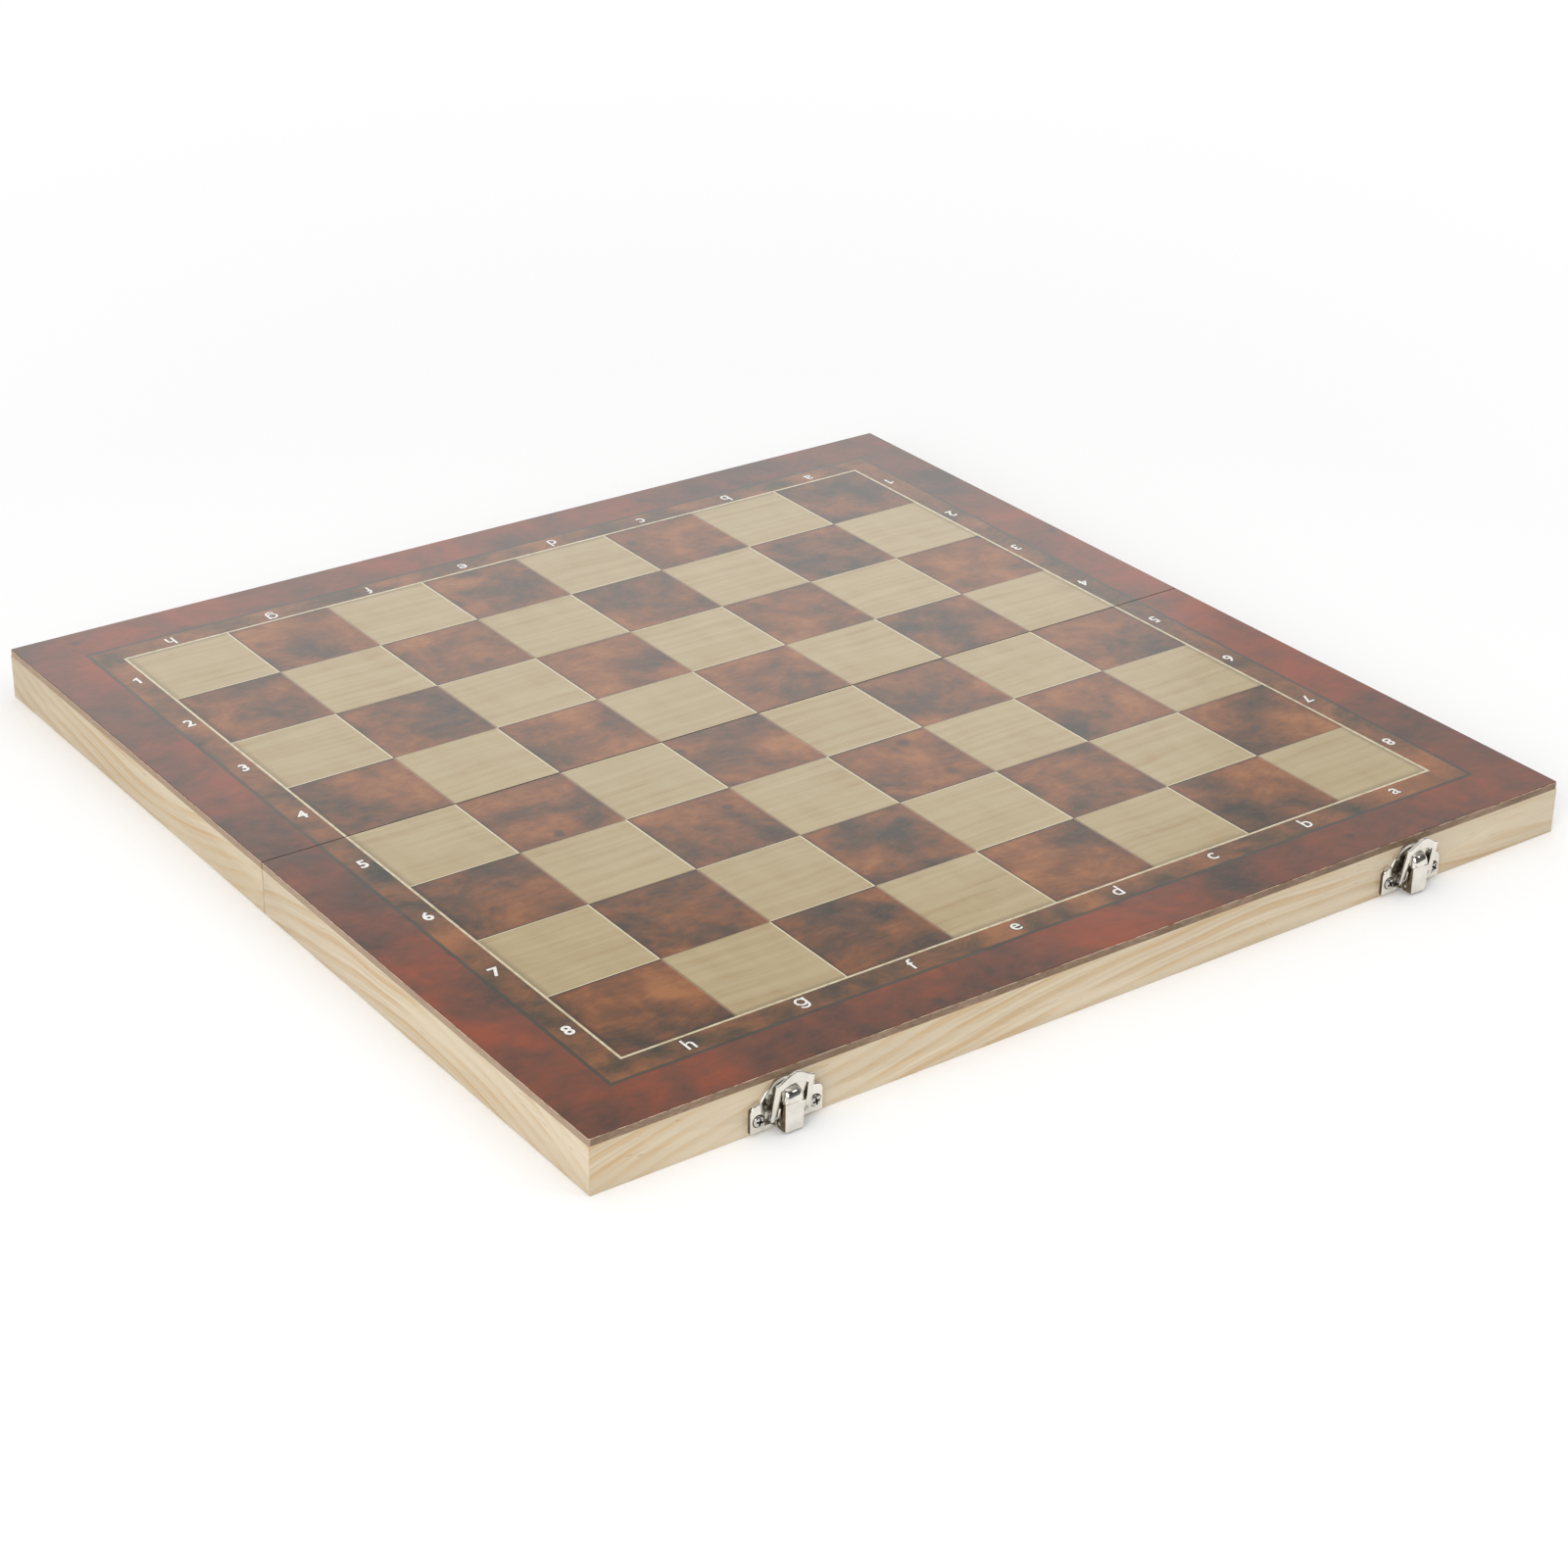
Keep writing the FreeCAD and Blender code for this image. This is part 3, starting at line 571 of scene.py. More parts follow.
def region(face):
    """The material of a panel's face, by where the face lies."""
    centre = face.calc_center_median()
    reach = max(abs(centre.x), abs(centre.y))
    if face.normal.z < -FACING:
        return LINING
    if face.normal.z < FACING:
        # Edges at the fold take the dark painted-shade finish, the others the plain edge
        return FOLD_EDGE_SHADE if abs(centre.y) < MM else PANEL_EDGE
    if reach > BAND_OUT:
        return PRINT_BORDER
    if reach > FIELD + FRAME_LINE / 2:
        return PRINT_BAND
    if reach > FIELD - FRAME_LINE / 2:
        return PRINT_LINE
    odd = (math.floor(centre.x / PITCH) + math.floor(centre.y / PITCH)) % 2
    return PRINT_LIGHT if odd else PRINT_DARK


def cut_top(bm, at, axis):
    """A straight cut through the upper faces of a panel, along which the print can change."""
    top = [f for f in bm.faces if f.normal.z > FACING]
    top += list({e for f in top for e in f.edges}) + list({v for f in top for v in f.verts})
    bmesh.ops.bisect_plane(bm, geom=top, dist=MERGE, plane_co=axis * at, plane_no=axis)


def panel(half, side):
    """One printed panel; side is -1 for the front half and +1 for the back half."""
    corner, arris = 0.9 * MM, 0.3 * MM
    inset = HALF - corner
    outline = [(-HALF, FOLD), (HALF, FOLD)]
    outline += arc(inset, inset, corner, 0, 90, 7) + arc(-inset, inset, corner, 90, 180, 7)
    bm = bmesh.new()
    prism(bm, [(x, side * y, UNDER) for x, y in outline], [(x, side * y, TOP) for x, y in outline])
    rim = [e for e in bm.edges if all(v.co.z > TOP - MM for v in e.verts)]
    rim = [e for e in rim if not all(abs(v.co.y) < MM for v in e.verts)]
    round_edges(bm, rim, arris, segments=2, clamp=False)
    bmesh.ops.recalc_face_normals(bm, faces=bm.faces)
    steps = [FIELD - FRAME_LINE / 2, FIELD + FRAME_LINE / 2, BAND_OUT]
    steps += [k * PITCH for k in range(HALF_COUNT)]
    for axis in (ALONG_FOLD, ACROSS_FOLD):
        for at in sorted({sign * step for step in steps for sign in (1, -1)}):
            cut_top(bm, at, axis)
    materials = [PRINT_DARK, PRINT_LIGHT, PRINT_LINE, PRINT_BAND, PRINT_BORDER,
                 PANEL_EDGE, LINING, FOLD_EDGE_SHADE]
    for face in bm.faces:
        face.material_index = materials.index(region(face))
    piece("%s_board" % half, bm, materials, "%s_half" % half, ["%s_panel" % half], angle=20.0)


# Printed coordinates

def font_letter(bm, text, size, grow):
    """A figure of the built-in font, its strokes made bolder by grow on each side."""
    curve = bpy.data.curves.new("figure", "FONT")
    curve.body = text
    curve.size = size
    curve.offset = grow
    curve.extrude = FILM
    curve.resolution_u = 5
    figure = bpy.data.objects.new("figure", curve)
    bpy.context.scene.collection.objects.link(figure)
    bm.from_mesh(figure.evaluated_get(bpy.context.evaluated_depsgraph_get()).to_mesh())
    bpy.data.objects.remove(figure)
    bpy.data.curves.remove(curve)


def letter_g(size, grow):
    """The strokes of a g with one bowl and an open tail."""
    half, bowl, drop, count = 0.04 * size + grow, 0.21 * size, 0.2 * size, 17
    left, right = bowl - half, bowl + half
    rounds = ((0.0, 0, 180), (0.0, 180, 360), (-drop, 0, -150))
    strokes = [arc(0, up, right, a, b, count) + arc(0, up, left, b, a, count) for up, a, b in rounds]
    return strokes + [[(left, -drop), (right, -drop), (right, right), (left, right)]]


def digit_one(size, grow):
    """The strokes of a 1 with a slanting flag."""
    half, high, flag, fall = 0.045 * size + grow, 0.35 * size, 0.24 * size, 0.16 * size
    stem = [(-half, -high), (half, -high), (half, high), (-half, high)]
    return [stem, [(0, high), (-flag, high - fall), (-flag, high - fall - 2 * half), (0, high - 2 * half)]]


DRAWN = {"g": letter_g, "1": digit_one}


def drawn_figure(bm, strokes):
    """Flat strokes laid over each other, each a hair thicker than the one before."""
    for count, outline in enumerate(strokes):
        top = FILM * (1 + count / 2)
        prism(bm, [(x, y, -FILM) for x, y in outline], [(x, y, top) for x, y in outline])


def glyph(bm, text, size, weight, x, y, upside_down):
    """One figure of the coordinates set about its own middle, with its dark edge below it."""
    layers = ((INK_LIFT, weight), (INK_LIFT / 2, weight + INK_EDGE_WIDE))
    for index, (level, grow) in enumerate(layers):
        figure = bmesh.new()
        if text in DRAWN:
            drawn_figure(figure, DRAWN[text](size, grow))
        else:
            font_letter(figure, text, size, grow)
        across = [v.co.x for v in figure.verts]
        along = [v.co.y for v in figure.verts]
        middle = Vector((min(across) + max(across), min(along) + max(along), 0)) / 2
        turn = Matrix.Rotation(math.pi if upside_down else 0.0, 4, "Z")
        put = Matrix.Translation((x, y, TOP + level)) @ turn @ Matrix.Translation(-middle)
        bmesh.ops.transform(figure, matrix=put, verts=figure.verts)
        for face in figure.faces:
            face.material_index = index
        add_part(bm, figure)


def coordinates(half, ranks, letters_y, upside_down):
    """The figures printed on the band of one half; the digits sit a little to the back of true."""
    left_weight, right_weight, letter_weight = 0.2 * MM, 0.12 * MM, 0.06 * MM
    left_back, right_back = 1.2 * MM, 3.0 * MM
    first = 0.5 - HALF_COUNT
    bm = bmesh.new()
    for rank in ranks:
        y = (HALF_COUNT + 0.5 - rank) * PITCH
        glyph(bm, str(rank), DIGIT, left_weight, -BAND_MIDDLE, y + left_back, False)
        glyph(bm, str(rank), DIGIT, right_weight, BAND_MIDDLE, y + right_back, True)
    for index, letter in enumerate("hgfedcba"):
        glyph(bm, letter, LETTER, letter_weight, (first + index) * PITCH, letters_y, upside_down)
    piece("%s_coordinates" % half, bm, [INK, INK_EDGE], "%s_half" % half, [])


# Walls and hinges

def walls():
    """The pine strips of the trays: the way each runs, where its rings bow, by how much, and a seed."""
    strips = (
        ("front_wall", "x", 0.09, 0.5, 1.0), ("front_fold_wall", "x", -0.05, 0.4, 2.0),
        ("front_left_wall", "y", -0.085, 1.7, 3.0), ("front_right_wall", "y", -0.12, 1.2, 4.0),
        ("back_wall", "x", -0.03, 0.6, 5.0), ("back_fold_wall", "x", 0.12, 0.5, 6.0),
        ("back_left_wall", "y", 0.1, -1.7, 7.0), ("back_right_wall", "y", 0.09, -1.3, 8.0),
    )
    arris = 0.25 * MM
    for node, lengthwise, middle, bow, seed in strips:
        wood = pine("pine_%s" % node, lengthwise, middle, bow, seed)
        dressed(node, "%s_half" % node.split("_")[0], wood, arris)


def hinges():
    """The two butt hinges, with their pins and countersunk screws."""
    leaf_arris, pin_arris, screw_arris = 0.12 * MM, 0.1 * MM, 0.06 * MM
    for hand in ("left", "right"):
        for half in ("front", "back"):
            dressed("hinge_%s_leaf_%s" % (hand, half), "%s_half" % half, BRASS, leaf_arris)
        dressed("hinge_%s_pin" % hand, "back_half", STEEL, pin_arris)
    for half in ("front", "back"):
        dressed("hinge_screws_%s" % half, "%s_half" % half, SCREW, screw_arris)


# Latches: sizes in millimetres, across from the latch's middle, out from the wall and up from the rim

class Latch:
    """One latch: where it sits and how its parts are laid out."""

    def __init__(self, hand):
        low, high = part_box("latch_%s_base" % hand)
        joints = {joint["name"]: joint for joint in frame["joints"]}
        ear_wide = 5.3
        self.hand = hand
        self.middle = (low.x + high.x) / 2
        self.half = (high.x - low.x) / 2 / MM
        self.low = low.z / MM
        self.lever_pivot = Vector(joints["lever_%s_swing" % hand]["pos_m"])
        self.hoop_pivot = Vector(joints["hoop_%s_swing" % hand]["pos_m"])
        self.ear_top, self.ear_round = 11.0, 3.0
        self.ear_in = self.half - ear_wide
        self.arch_up = 6.4
        self.arch = high.z / MM - self.arch_up
        self.arch_start = math.degrees(math.asin((self.ear_top - self.arch_up) / self.arch))

    def at(self, across, out, up):
        return Vector((self.middle + across * MM, -HALF - out * MM, up * MM))

    def plate(self, outline, near, far, radius):
        """A flat block parallel to the wall."""
        back = [self.at(across, near, up) for across, up in outline]
        front = [self.at(across, far, up) for across, up in outline]
        return block(back, front, radius)

    def ear_corner(self):
        return arc(self.half - self.ear_round, self.ear_top - self.ear_round, self.ear_round, 0, 90)

    def dish(self):
        """The sheet behind the ears and the rim, with the outline of the whole plate."""
        thick, arris = 0.45, 0.1
        outline = [(-self.half, self.low), (self.half, self.low)] + self.ear_corner()
        outline += arc(0, self.arch_up, self.arch, self.arch_start, 180 - self.arch_start, 33)
        outline += mirrored(self.ear_corner())
        return self.plate(outline, 0.0, thick, arris)

    def ear_outline(self):
        """The right ear, which runs into the arch and slopes down to its inner edge."""
        overlap, slope = 0.9, 3.0
        meets = self.arch * math.cos(math.radians(self.arch_start)) - overlap
        outline = [(self.ear_in, self.low), (self.half, self.low)] + self.ear_corner()
        return outline + [(meets, self.ear_top), (self.ear_in, self.ear_top - slope)]

    def rim_outline(self):
        """The raised rim of the arch, which runs a few degrees into the ears."""
        wide, overlap, count = 0.8, 4, 41
        start, end = self.arch_start - overlap, 180 + overlap - self.arch_start
        outer = arc(0, self.arch_up, self.arch, start, end, count)
        return outer + arc(0, self.arch_up, self.arch - wide, end, start, count)

    def sill_outline(self):
        """The right part of the sill, beside the slot that the lever swings through."""
        slot, overlap, high = 3.9, 0.5, 3.0
        end = self.ear_in + overlap
        return [(slot, self.low), (end, self.low), (end, high), (slot, high)]

    def lug(self, side, thick):
        """One of the lugs that carry the lever's pin; side is where its left face stands."""
        radius, root, arris = 1.4, 0.2, 0.12
        pivot, up = (-HALF - self.lever_pivot.y) / MM, self.lever_pivot.z / MM
        outline = [(root, up - radius)] + arc(pivot, up, radius, -90, 90) + [(root, up + radius)]
        left = [self.at(side, out, high) for out, high in outline]
        right = [self.at(side + thick, out, high) for out, high in outline]
        return block(left, right, arris)

    def base(self):
        """Pressed base plate: the dish, an ear and a part of the sill on each side, the rim and two lugs."""
        sunk, ear_arris, rim_arris, sill_arris = 0.1, 0.4, 0.35, 0.3
        lug_from, lug_thick, sideways = 1.8, 0.8, 0.75
        bm = bmesh.new()
        add_part(bm, self.dish())
        for outline in (self.ear_outline(), mirrored(self.ear_outline())):
            ear = self.plate(outline, sunk, LATCH_FRONT, ear_arris)
            # Painted shade: the ear's sideways faces take the dark nickel
            paint(ear, lambda face: abs(face.normal.x) > sideways)
            add_part(bm, ear)
        add_part(bm, self.plate(self.rim_outline(), sunk, LATCH_FRONT, rim_arris))
        for outline in (self.sill_outline(), mirrored(self.sill_outline())):
            add_part(bm, self.plate(outline, sunk, LATCH_FRONT, sill_arris))
        for side in (lug_from, -lug_from - lug_thick):
            add_part(bm, self.lug(side, lug_thick))
        piece("latch_%s_plate" % self.hand, bm, [NICKEL, NICKEL_SIDE_SHADE], "front_half",
              ["latch_%s_base" % self.hand], angle=35.0)

    def lever_section(self, half, front, back, square, up):
        """A level cut of the lever, from one back edge round the front to the other."""
        points = []
        for turn in (math.pi * k / 24 for k in range(25)):
            across = half * math.copysign(abs(math.cos(turn)) ** (2 / square), math.cos(turn))
            out = back + (front - back) * abs(math.sin(turn)) ** (2 / square)
            points.append(self.at(across, out, up))
        return points

    def lever_cuts(self, front, hood_low):
        """The lever's level cuts from below: half width, front, back, squareness and height."""
        half, back, tip, hood_high, lip = 3.6, 1.75, 3.3, 3.6, 0.5
        foot, knee, foot_in = 0.9, 2.4, 0.45
        neck_low, neck, brim = hood_low - 0.8, hood_low - 0.45, hood_low - 0.1
        side_pinch, front_pinch, tip_gap = 0.2, 0.4, 0.2
        boxy, necked, brimmed, domed = 8, 6, 3.6, 3.4
        side_fall, front_fall, back_rise = 0.42, 0.7, 1.5
        cuts = [
            (half, front, back + foot_in, boxy, foot),
            (half, front, back, boxy, knee),
            (half, front, back, boxy, neck_low),
            (half - side_pinch, front - front_pinch, back, necked, neck),
            (half, front + lip, back, brimmed, brim),
        ]
        for turn in dome(10):
            rise, fall = math.sin(turn), math.cos(turn)
            cuts.append((half * fall ** side_fall, tip + (front + lip - tip) * fall ** front_fall,
                         back + (tip - tip_gap - back) * rise ** back_rise, domed - rise,
                         hood_low + hood_high * rise))
        return cuts

    def lever(self):
        """Sheet lever: flat front, open back, and a domed hood that leans back over the hoop."""
        front, hood_low, sheet = 6.0, 10.9, 0.4
        front_depth, below_hood, sideways = 0.5, 0.3, 0.8
        bm = bmesh.new()
        rows = []
        for cut in self.lever_cuts(front, hood_low):
            verts = [bm.verts.new(p) for p in self.lever_section(*cut)]
            rows.append([bm.edges.new(pair) for pair in zip(verts, verts[1:])])
        for low, high in zip(rows, rows[1:]):
            bmesh.ops.bridge_loops(bm, edges=low + high)
        bm.faces.new(verts)
        bmesh.ops.recalc_face_normals(bm, faces=bm.faces)
        fronts = [f for f in bm.faces if f.calc_center_median().y < -HALF - (front - front_depth) * MM]
        if sum(f.normal.y * f.calc_area() for f in fronts) > 0:
            bmesh.ops.reverse_faces(bm, faces=bm.faces)
        side_top = (hood_low - below_hood) * MM
        # Painted shade: the lever's sides below the hood take the dark nickel
        paint(bm, lambda face: abs(face.normal.x) > sideways and face.calc_center_median().z < side_top)
        bmesh.ops.solidify(bm, geom=bm.faces[:], thickness=sheet * MM)
        piece("latch_%s_handle" % self.hand, bm, [NICKEL, NICKEL_SIDE_SHADE], "lever_%s" % self.hand,
              ["latch_%s_lever" % self.hand], angle=38.0)

    def lean(self, across, deep, high):
        """A point of the hoop, from its pivot: across, outward and along the leaning legs."""
        tilt = math.radians(9.0)
        out = deep * math.cos(tilt) + high * math.sin(tilt)
        up = high * math.cos(tilt) - deep * math.sin(tilt)
        return Vector((self.middle + across * MM, self.hoop_pivot.y - out * MM, self.hoop_pivot.z + up * MM))

    def hoop_outline(self, inside):
        """The hoop's plate: a bell-shaped crown outside, and two legs with a flat arch between them."""
        half, top_half, low_end = 7.2, 6.8, -1.2
        shoulder, crown, spring, arch_top = 12.2, 15.3, 9.6, 11.2
        bell = [(top_half * k / 12, shoulder + (crown - shoulder) * (1 + math.cos(math.pi * k / 12)) / 2)
                for k in range(12, -13, -1)]
        rise = arch_top - spring
        radius = (inside ** 2 + rise ** 2) / (2 * rise)
        spread = math.degrees(math.asin(inside / radius))
        arch = arc(0, arch_top - radius, radius, 90 + spread, 90 - spread, 25)
        outside = [(half, low_end)] + bell + [(-half, low_end)]
        return outside + [(-inside, low_end)] + arch + [(inside, low_end)]

    def hoop(self):
        """Stirrup of sheet: an arched plate that leans out, and two flanges that hang on the pin.

        The sides of the flanges take the painted shade, and so do the plate's, apart from its outer one on
        the right.
        """
        inside, sheet, near, eye = 4.9, 0.9, 0.15, 1.1
        eye_high, flange_high, proud, behind = 0.8, 3.2, 0.05, 0.1
        plate_arris, flange_arris, flat = 0.26, 0.2, 0.99
        front, right = near + sheet, self.middle + (inside + sheet) * MM
        outline = self.hoop_outline(inside)
        plate = block([self.lean(a, near, h) for a, h in outline],
                      [self.lean(a, front, h) for a, h in outline], plate_arris)
        # Painted shade: the plate's flat sides take the dark nickel
        paint(plate, lambda face: abs(face.normal.x) > flat and face.calc_center_median().x < right)
        bm = bmesh.new()
        add_part(bm, plate)
        flange = arc(0, 0, eye, 180, 360)
        flange += [(eye, eye_high), (front + proud, flange_high), (near + behind, flange_high)]
        for side in (inside - sheet, -inside):
            leg = block([self.lean(side, d, h) for d, h in flange],
                        [self.lean(side + sheet, d, h) for d, h in flange], flange_arris)
            # Painted shade: the flanges' sides take the dark nickel
            paint(leg, lambda face: abs(face.normal.x) > FACING)
            add_part(bm, leg)
        piece("latch_%s_stirrup" % self.hand, bm, [NICKEL, NICKEL_SIDE_SHADE], "hoop_%s" % self.hand,
              ["latch_%s_hoop" % self.hand], angle=35.0)


def carved(body, cutter):
    """The first mesh with the second one cut out of it; faces of the cut take the dark recess metal, a
    painted shade.
    """
    solid, tool = mesh_object("solid", body), mesh_object("tool", cutter)
    for thing in (solid, tool):
        thing.data.materials.append(SCREW)
        thing.data.materials.append(RECESS_SHADE)
    for face in tool.data.polygons:
        face.material_index = 1
    cut = solid.modifiers.new("cut", "BOOLEAN")
    cut.operation = "DIFFERENCE"
    cut.object = tool
    bm = bmesh.new()
    bm.from_object(solid, bpy.context.evaluated_depsgraph_get())
    for thing in (solid, tool):
        bpy.data.objects.remove(thing)
    return bm


def screw_head(centre, facing, seat):
    """A pan head on its shank, and how far out its top is; seat is how far out the plate is."""
    radius, rise, edge, sunk = 1.9, 0.85, 0.25, 0.2
    shank, shank_end = 1.0, -6.0
    crown = [(radius * math.cos(a), seat + edge + (rise - edge) * math.sin(a)) for a in dome(6)]
    profile = [(shank, shank_end), (shank, seat - sunk), (radius, seat - sunk)] + crown
    return turned(profile, centre, ALONG_FOLD, facing * ACROSS_FOLD, 32), seat + rise


def cross_recess(centre, facing, head_top, twist):
    """The tapered cross that is cut into a screw head."""
    arm, half, deep, over = 1.5, 0.4, 0.55, 1.0
    low_share, high_share = 0.75, 1.1
    cross = [(arm, -half), (arm, half), (half, half), (half, arm), (-half, arm), (-half, half),
             (-arm, half), (-arm, -half), (-half, -half), (-half, -arm), (half, -arm), (half, -half)]
    turn = Matrix.Rotation(math.radians(twist), 2)
    cross = [turn @ Vector(p) for p in cross]
    rings = []
    for share, out in ((low_share, head_top - deep), (high_share, head_top + over)):
        rings.append([centre + Vector((p.x * share, facing * out, p.y * share)) * MM for p in cross])
    bm = bmesh.new()
    prism(bm, *rings)
    bmesh.ops.recalc_face_normals(bm, faces=bm.faces)
    return bm


def seat_ring(centre, facing, seat):
    """A thin dark ring that a screw head sits in: painted shade round the head on the plate."""
    inner, outer, top, sunk, proud = 1.2, 2.25, 2.15, 0.05, 0.03
    profile = [(inner, seat - sunk), (outer, seat - sunk), (top, seat + proud), (inner, seat + proud)]
    ring = turned(profile, centre, ALONG_FOLD, facing * ACROSS_FOLD, 32)
    # The whole ring takes the dark painted-shade metal
    paint(ring, lambda face: True)
    return ring


def screws(node, plate, inset, up, wall, facing, seat, body):
    """A row of screws, two through each of the two plates, each turned another way."""
    first_twist, plate_twist, next_twist = -12.0, 40.0, 25.0
    bm = bmesh.new()
    for number, hand in enumerate(("left", "right")):
        low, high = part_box(plate % hand)
        for count, x in enumerate((low.x + inset * MM, high.x - inset * MM)):
            centre = Vector((x, wall, up * MM))
            head, head_top = screw_head(centre, facing, seat)
            twist = plate_twist * number + next_twist * count + first_twist
            add_part(bm, carved(head, cross_recess(centre, facing, head_top, twist)))
            add_part(bm, seat_ring(centre, facing, seat))
    piece("%s_heads" % node, bm, [SCREW, RECESS_SHADE], body, [node], angle=35.0)


def rivet(node, body):
    """A plain pin along the fold with domed ends a little proud of the sheet."""
    proud = 0.2
    low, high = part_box(node)
    radius, half = (high.z - low.z) / 2 / MM, (high.x - low.x) / 2 / MM
    end = [(radius * math.cos(a), half + proud * math.sin(a)) for a in dome(5)]
    profile = [(r, -x) for r, x in reversed(end)] + end
    bm = turned(profile, (low + high) / 2, ACROSS_FOLD, ALONG_FOLD, 24)
    piece("%s_rivet" % node, bm, [STEEL], body, [node], angle=40.0)


def latches():
    """The two latches, the catches that they hold, and the screws of both."""
    pin_arris, catch_arris = 0.1 * MM, 0.12 * MM
    latch_inset, latch_up, catch_inset, catch_up = 2.9, 5.2, 2.5, 10.5
    for hand in ("left", "right"):
        latch = Latch(hand)
        latch.base()
        latch.lever()
        latch.hoop()
        rivet("latch_%s_lever_pin" % hand, "front_half")
        dressed("latch_%s_hoop_pin" % hand, "lever_%s" % hand, STEEL, pin_arris)
        dressed("catch_%s" % hand, "back_half", NICKEL, catch_arris)
    screws("latch_screws", "latch_%s_base", latch_inset, latch_up, -HALF, -1, LATCH_FRONT, "front_half")
    screws("catch_screws", "catch_%s", catch_inset, catch_up, HALF, 1, CATCH_FRONT, "back_half")


# Stage

def floor_paper():
    """White paper: it keeps the shadow, lights the trays, and can be looked through from below."""
    s = Shader("floor_paper")
    near, far, near_lift, far_lift = 0.4, 2.5, 0.05, 0.4
    under_light, under_soft = 0.6, 5 * MM
    path = s.add("LightPath").outputs
    tooth = s.bump(s.noise(s.place, scale=900.0), distance=0.05 * MM, strength=0.2)
    paper = s.add("BsdfDiffuse", {"Color": tone(250, 250, 250), "Normal": tooth})
    x, y = s.split(s.place)[:2]
    away = s.math("SQRT", s.plus(s.times(x, x), s.times(y, y)))
    shown = s.highest(path["Is Camera Ray"], path["Is Glossy Ray"], path["Is Transmission Ray"])
    under = s.step(s.reach(), HALF, HALF - under_soft)
    bounced = s.highest(path["Is Diffuse Ray"], path["Is Glossy Ray"])
    strength = s.plus(s.times(shown, s.fit(away, near_lift, far_lift, near, far)),
                      s.times(under, bounced, under_light))
    lift = s.add("Emission", {"Strength": strength})
    lit = s.add("AddShader", {0: paper.outputs[0], 1: lift.outputs[0]})
    clear = s.add("BsdfTransparent")
    from_below = s.add("NewGeometry").outputs["Backfacing"]
    surface = s.add("MixShader", {0: from_below, 1: lit.outputs[0], 2: clear.outputs[0]})
    s.add("OutputMaterial", {"Surface": surface.outputs[0]})
    return s.owner


def floor():
    """The wide floor, a hair below the rims that stand on it."""
    bm = bmesh.new()
    bmesh.ops.create_grid(bm, x_segments=1, y_segments=1, size=6.0)
    bmesh.ops.translate(bm, verts=bm.verts, vec=(0, 0, -FLOOR_DROP))
    thing = mesh_object("floor", bm)
    thing.data.materials.append(floor_paper())


def world():
    """White to the camera, a plain level for the light, and for gloss a white back and a darker front."""
    s = Shader("studio", "worlds")
    plain_level, below_level = 0.68, 0.45
    path = s.add("LightPath").outputs
    _, y, z = s.split(s.add("TexCoord").outputs["Generated"])
    back = s.fit(y, low=0.1, high=1.0, start=-0.25, end=0.55)
    overhead = s.fit(z, low=1.0, high=0.5, start=0.44, end=0.54)
    below = s.times(s.step(z, 0.0, -0.1), below_level)
    gloss = s.highest(s.times(back, overhead), below)
    shown = s.highest(path["Is Camera Ray"], path["Is Transmission Ray"])
    strength = s.between(shown, s.between(path["Is Glossy Ray"], plain_level, gloss), 1.0)
    light = s.add("Background", {"Color": (1.0, 1.0, 1.0, 1.0), "Strength": strength})
    s.add("OutputWorld", {"Surface": light.outputs[0]})
    bpy.context.scene.world = s.owner


def lamp(name, place, wide, high, power):
    """A soft oblong light that points at the middle of the board and isn't seen by the camera."""
    data = bpy.data.lights.new(name, "AREA")
    data.shape = "RECTANGLE"
    data.size = wide
    data.size_y = high
    data.energy = power
    thing = bpy.data.objects.new(name, data)
    thing.location = place
    thing.rotation_mode = "QUATERNION"
    thing.rotation_quaternion = (-Vector(place)).to_track_quat("-Z", "Y")
    thing.visible_camera = False
    bpy.context.scene.collection.objects.link(thing)


def toward(azimuth, elevation, distance):
    """A point seen from the middle of the board in that direction, in degrees from +X and from the floor."""
    a, e = math.radians(azimuth), math.radians(elevation)
    return distance * Vector((math.cos(e) * math.cos(a), math.cos(e) * math.sin(a), math.sin(e)))


def lights():
    """A strip behind that shows in the lacquer, a key from the left, a top light and a fill in front."""
    lamp("back_strip", toward(59.0, 24.4, 4.0), wide=1.92, high=0.77, power=2.9)
    lamp("key", (-2.2, -1.6, 1.3), wide=1.6, high=1.6, power=36.0)
    lamp("top", (0, 0, 2.5), wide=2.0, high=2.0, power=9.0)
    lamp("front_fill", toward(-52.0, 47.0, 2.5), wide=0.8, high=0.6, power=3.8)


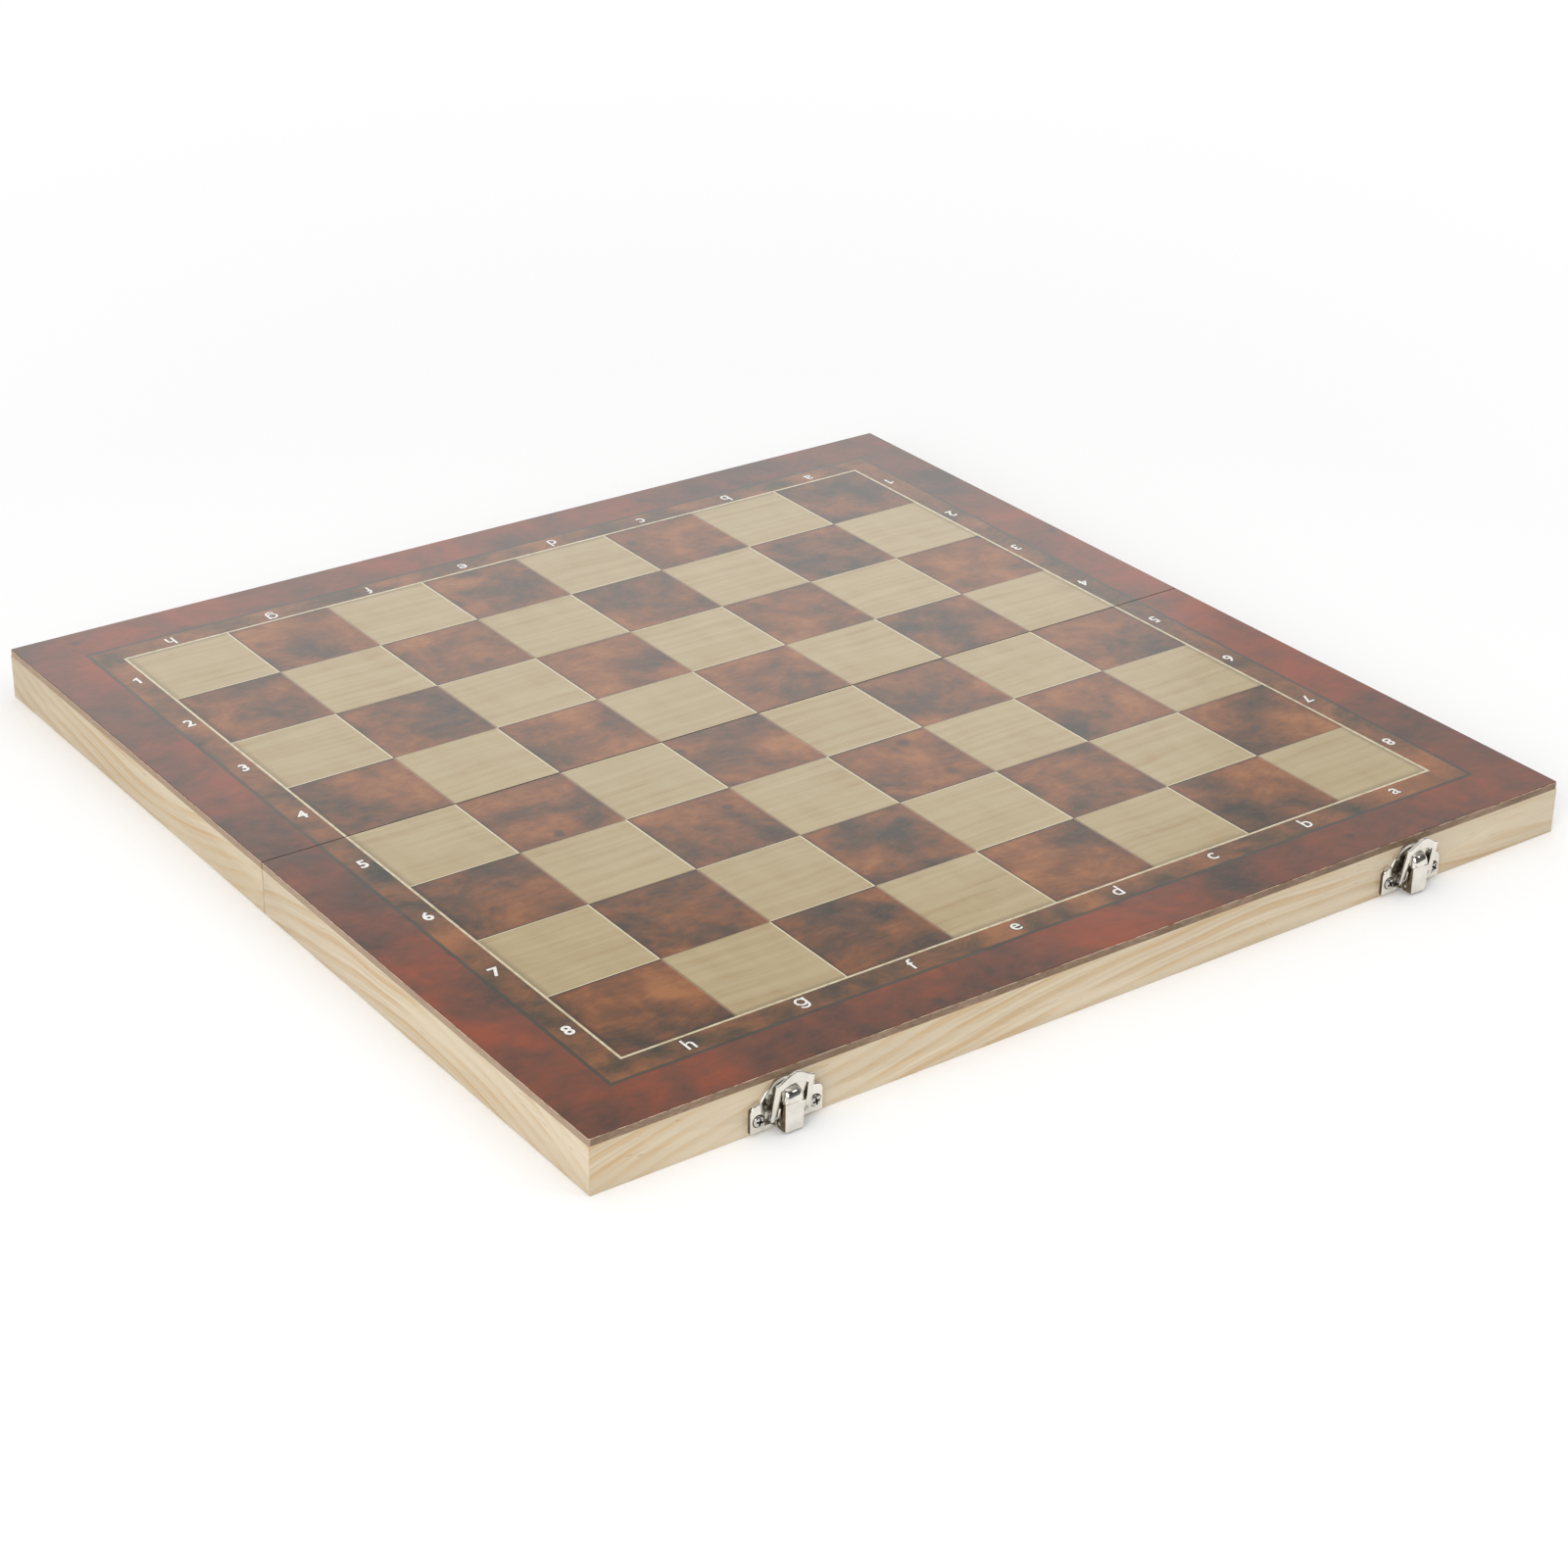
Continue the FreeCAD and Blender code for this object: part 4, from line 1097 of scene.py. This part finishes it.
def camera():
    """The view of the photograph: the board from its front left corner, a little above."""
    place = Vector((-0.609653, -0.857975, 0.533731))
    target = Vector((-0.024121, -0.049327, 0.0191))
    roll = Quaternion((0, 0, 1), math.radians(0.87))
    data = bpy.data.cameras.new("camera")
    data.lens = 76.5
    data.sensor_width = 36.0
    thing = bpy.data.objects.new("camera", data)
    thing.location = place
    thing.rotation_mode = "QUATERNION"
    thing.rotation_quaternion = (target - place).to_track_quat("-Z", "Y") @ roll
    bpy.context.scene.collection.objects.link(thing)
    bpy.context.scene.camera = thing


# Rubbing marks of the metals: how fine they are along each axis
BRASS_RUB = (900.0, 60.0, 60.0)
STEEL_RUB = (60.0, 1200.0, 1200.0)
SCREW_RUB = (700.0, 700.0, 700.0)
NICKEL_RUB = (500.0, 900.0, 90.0)

# Materials
PRINT_LIGHT = print_light()
PRINT_DARK = print_dark()
PRINT_LINE = print_line()
PRINT_BAND = print_band()
PRINT_BORDER = print_border()
# The rim colour of the panel edge is a painted highlight along its arris
PANEL_EDGE = panel_edge("panel_edge", low=tone(98, 76, 56), middle=tone(130, 106, 84),
                        bright=tone(190, 165, 140), rim=tone(216, 196, 174))
# Painted shade: the edges at the fold are coloured far darker than the other edges, so that the gap between
# the halves shows dark
FOLD_EDGE_SHADE = panel_edge("fold_edge_painted_shade", low=tone(58, 43, 34), middle=tone(76, 57, 45),
                       bright=tone(100, 78, 61), rim=tone(70, 50, 42))
LINING = panel_lining()
INK = ink("ink_white", tone(242, 239, 233), tone(212, 204, 193))
INK_EDGE = ink("ink_edge", tone(44, 36, 28), tone(66, 52, 38))
BRASS = metal("hinge_brass", tone(214, 176, 104), tone(196, 154, 84), 0.24, BRASS_RUB)
STEEL = metal("pin_steel", tone(196, 194, 190), tone(172, 170, 166), 0.3, STEEL_RUB)
SCREW = metal("screw_plating", tone(214, 211, 204), tone(188, 184, 176), 0.2, SCREW_RUB)
NICKEL = metal("nickel_plating", tone(236, 232, 223), tone(222, 217, 207), 0.19, NICKEL_RUB)
# Painted shade and reflection: a dark brown nickel for the sides of the latch parts, standing in for the
# shade and wood they mirror
NICKEL_SIDE_SHADE = metal("nickel_sides_painted_shade", tone(122, 110, 92), tone(92, 82, 68), 0.22, NICKEL_RUB)
# Painted shade: a dark metal for the screws' cross recesses and the rings round their heads
RECESS_SHADE = metal("recess_painted_shade", tone(60, 56, 50), tone(34, 32, 28), 0.5, SCREW_RUB)

# The board and its stage
panel("front", -1)
panel("back", 1)
coordinates("front", (5, 6, 7, 8), -BAND_MIDDLE, False)
coordinates("back", (1, 2, 3, 4), BAND_MIDDLE, True)
walls()
hinges()
latches()
floor()
world()
lights()
camera()

bpy.context.scene.view_settings.view_transform = "Standard"
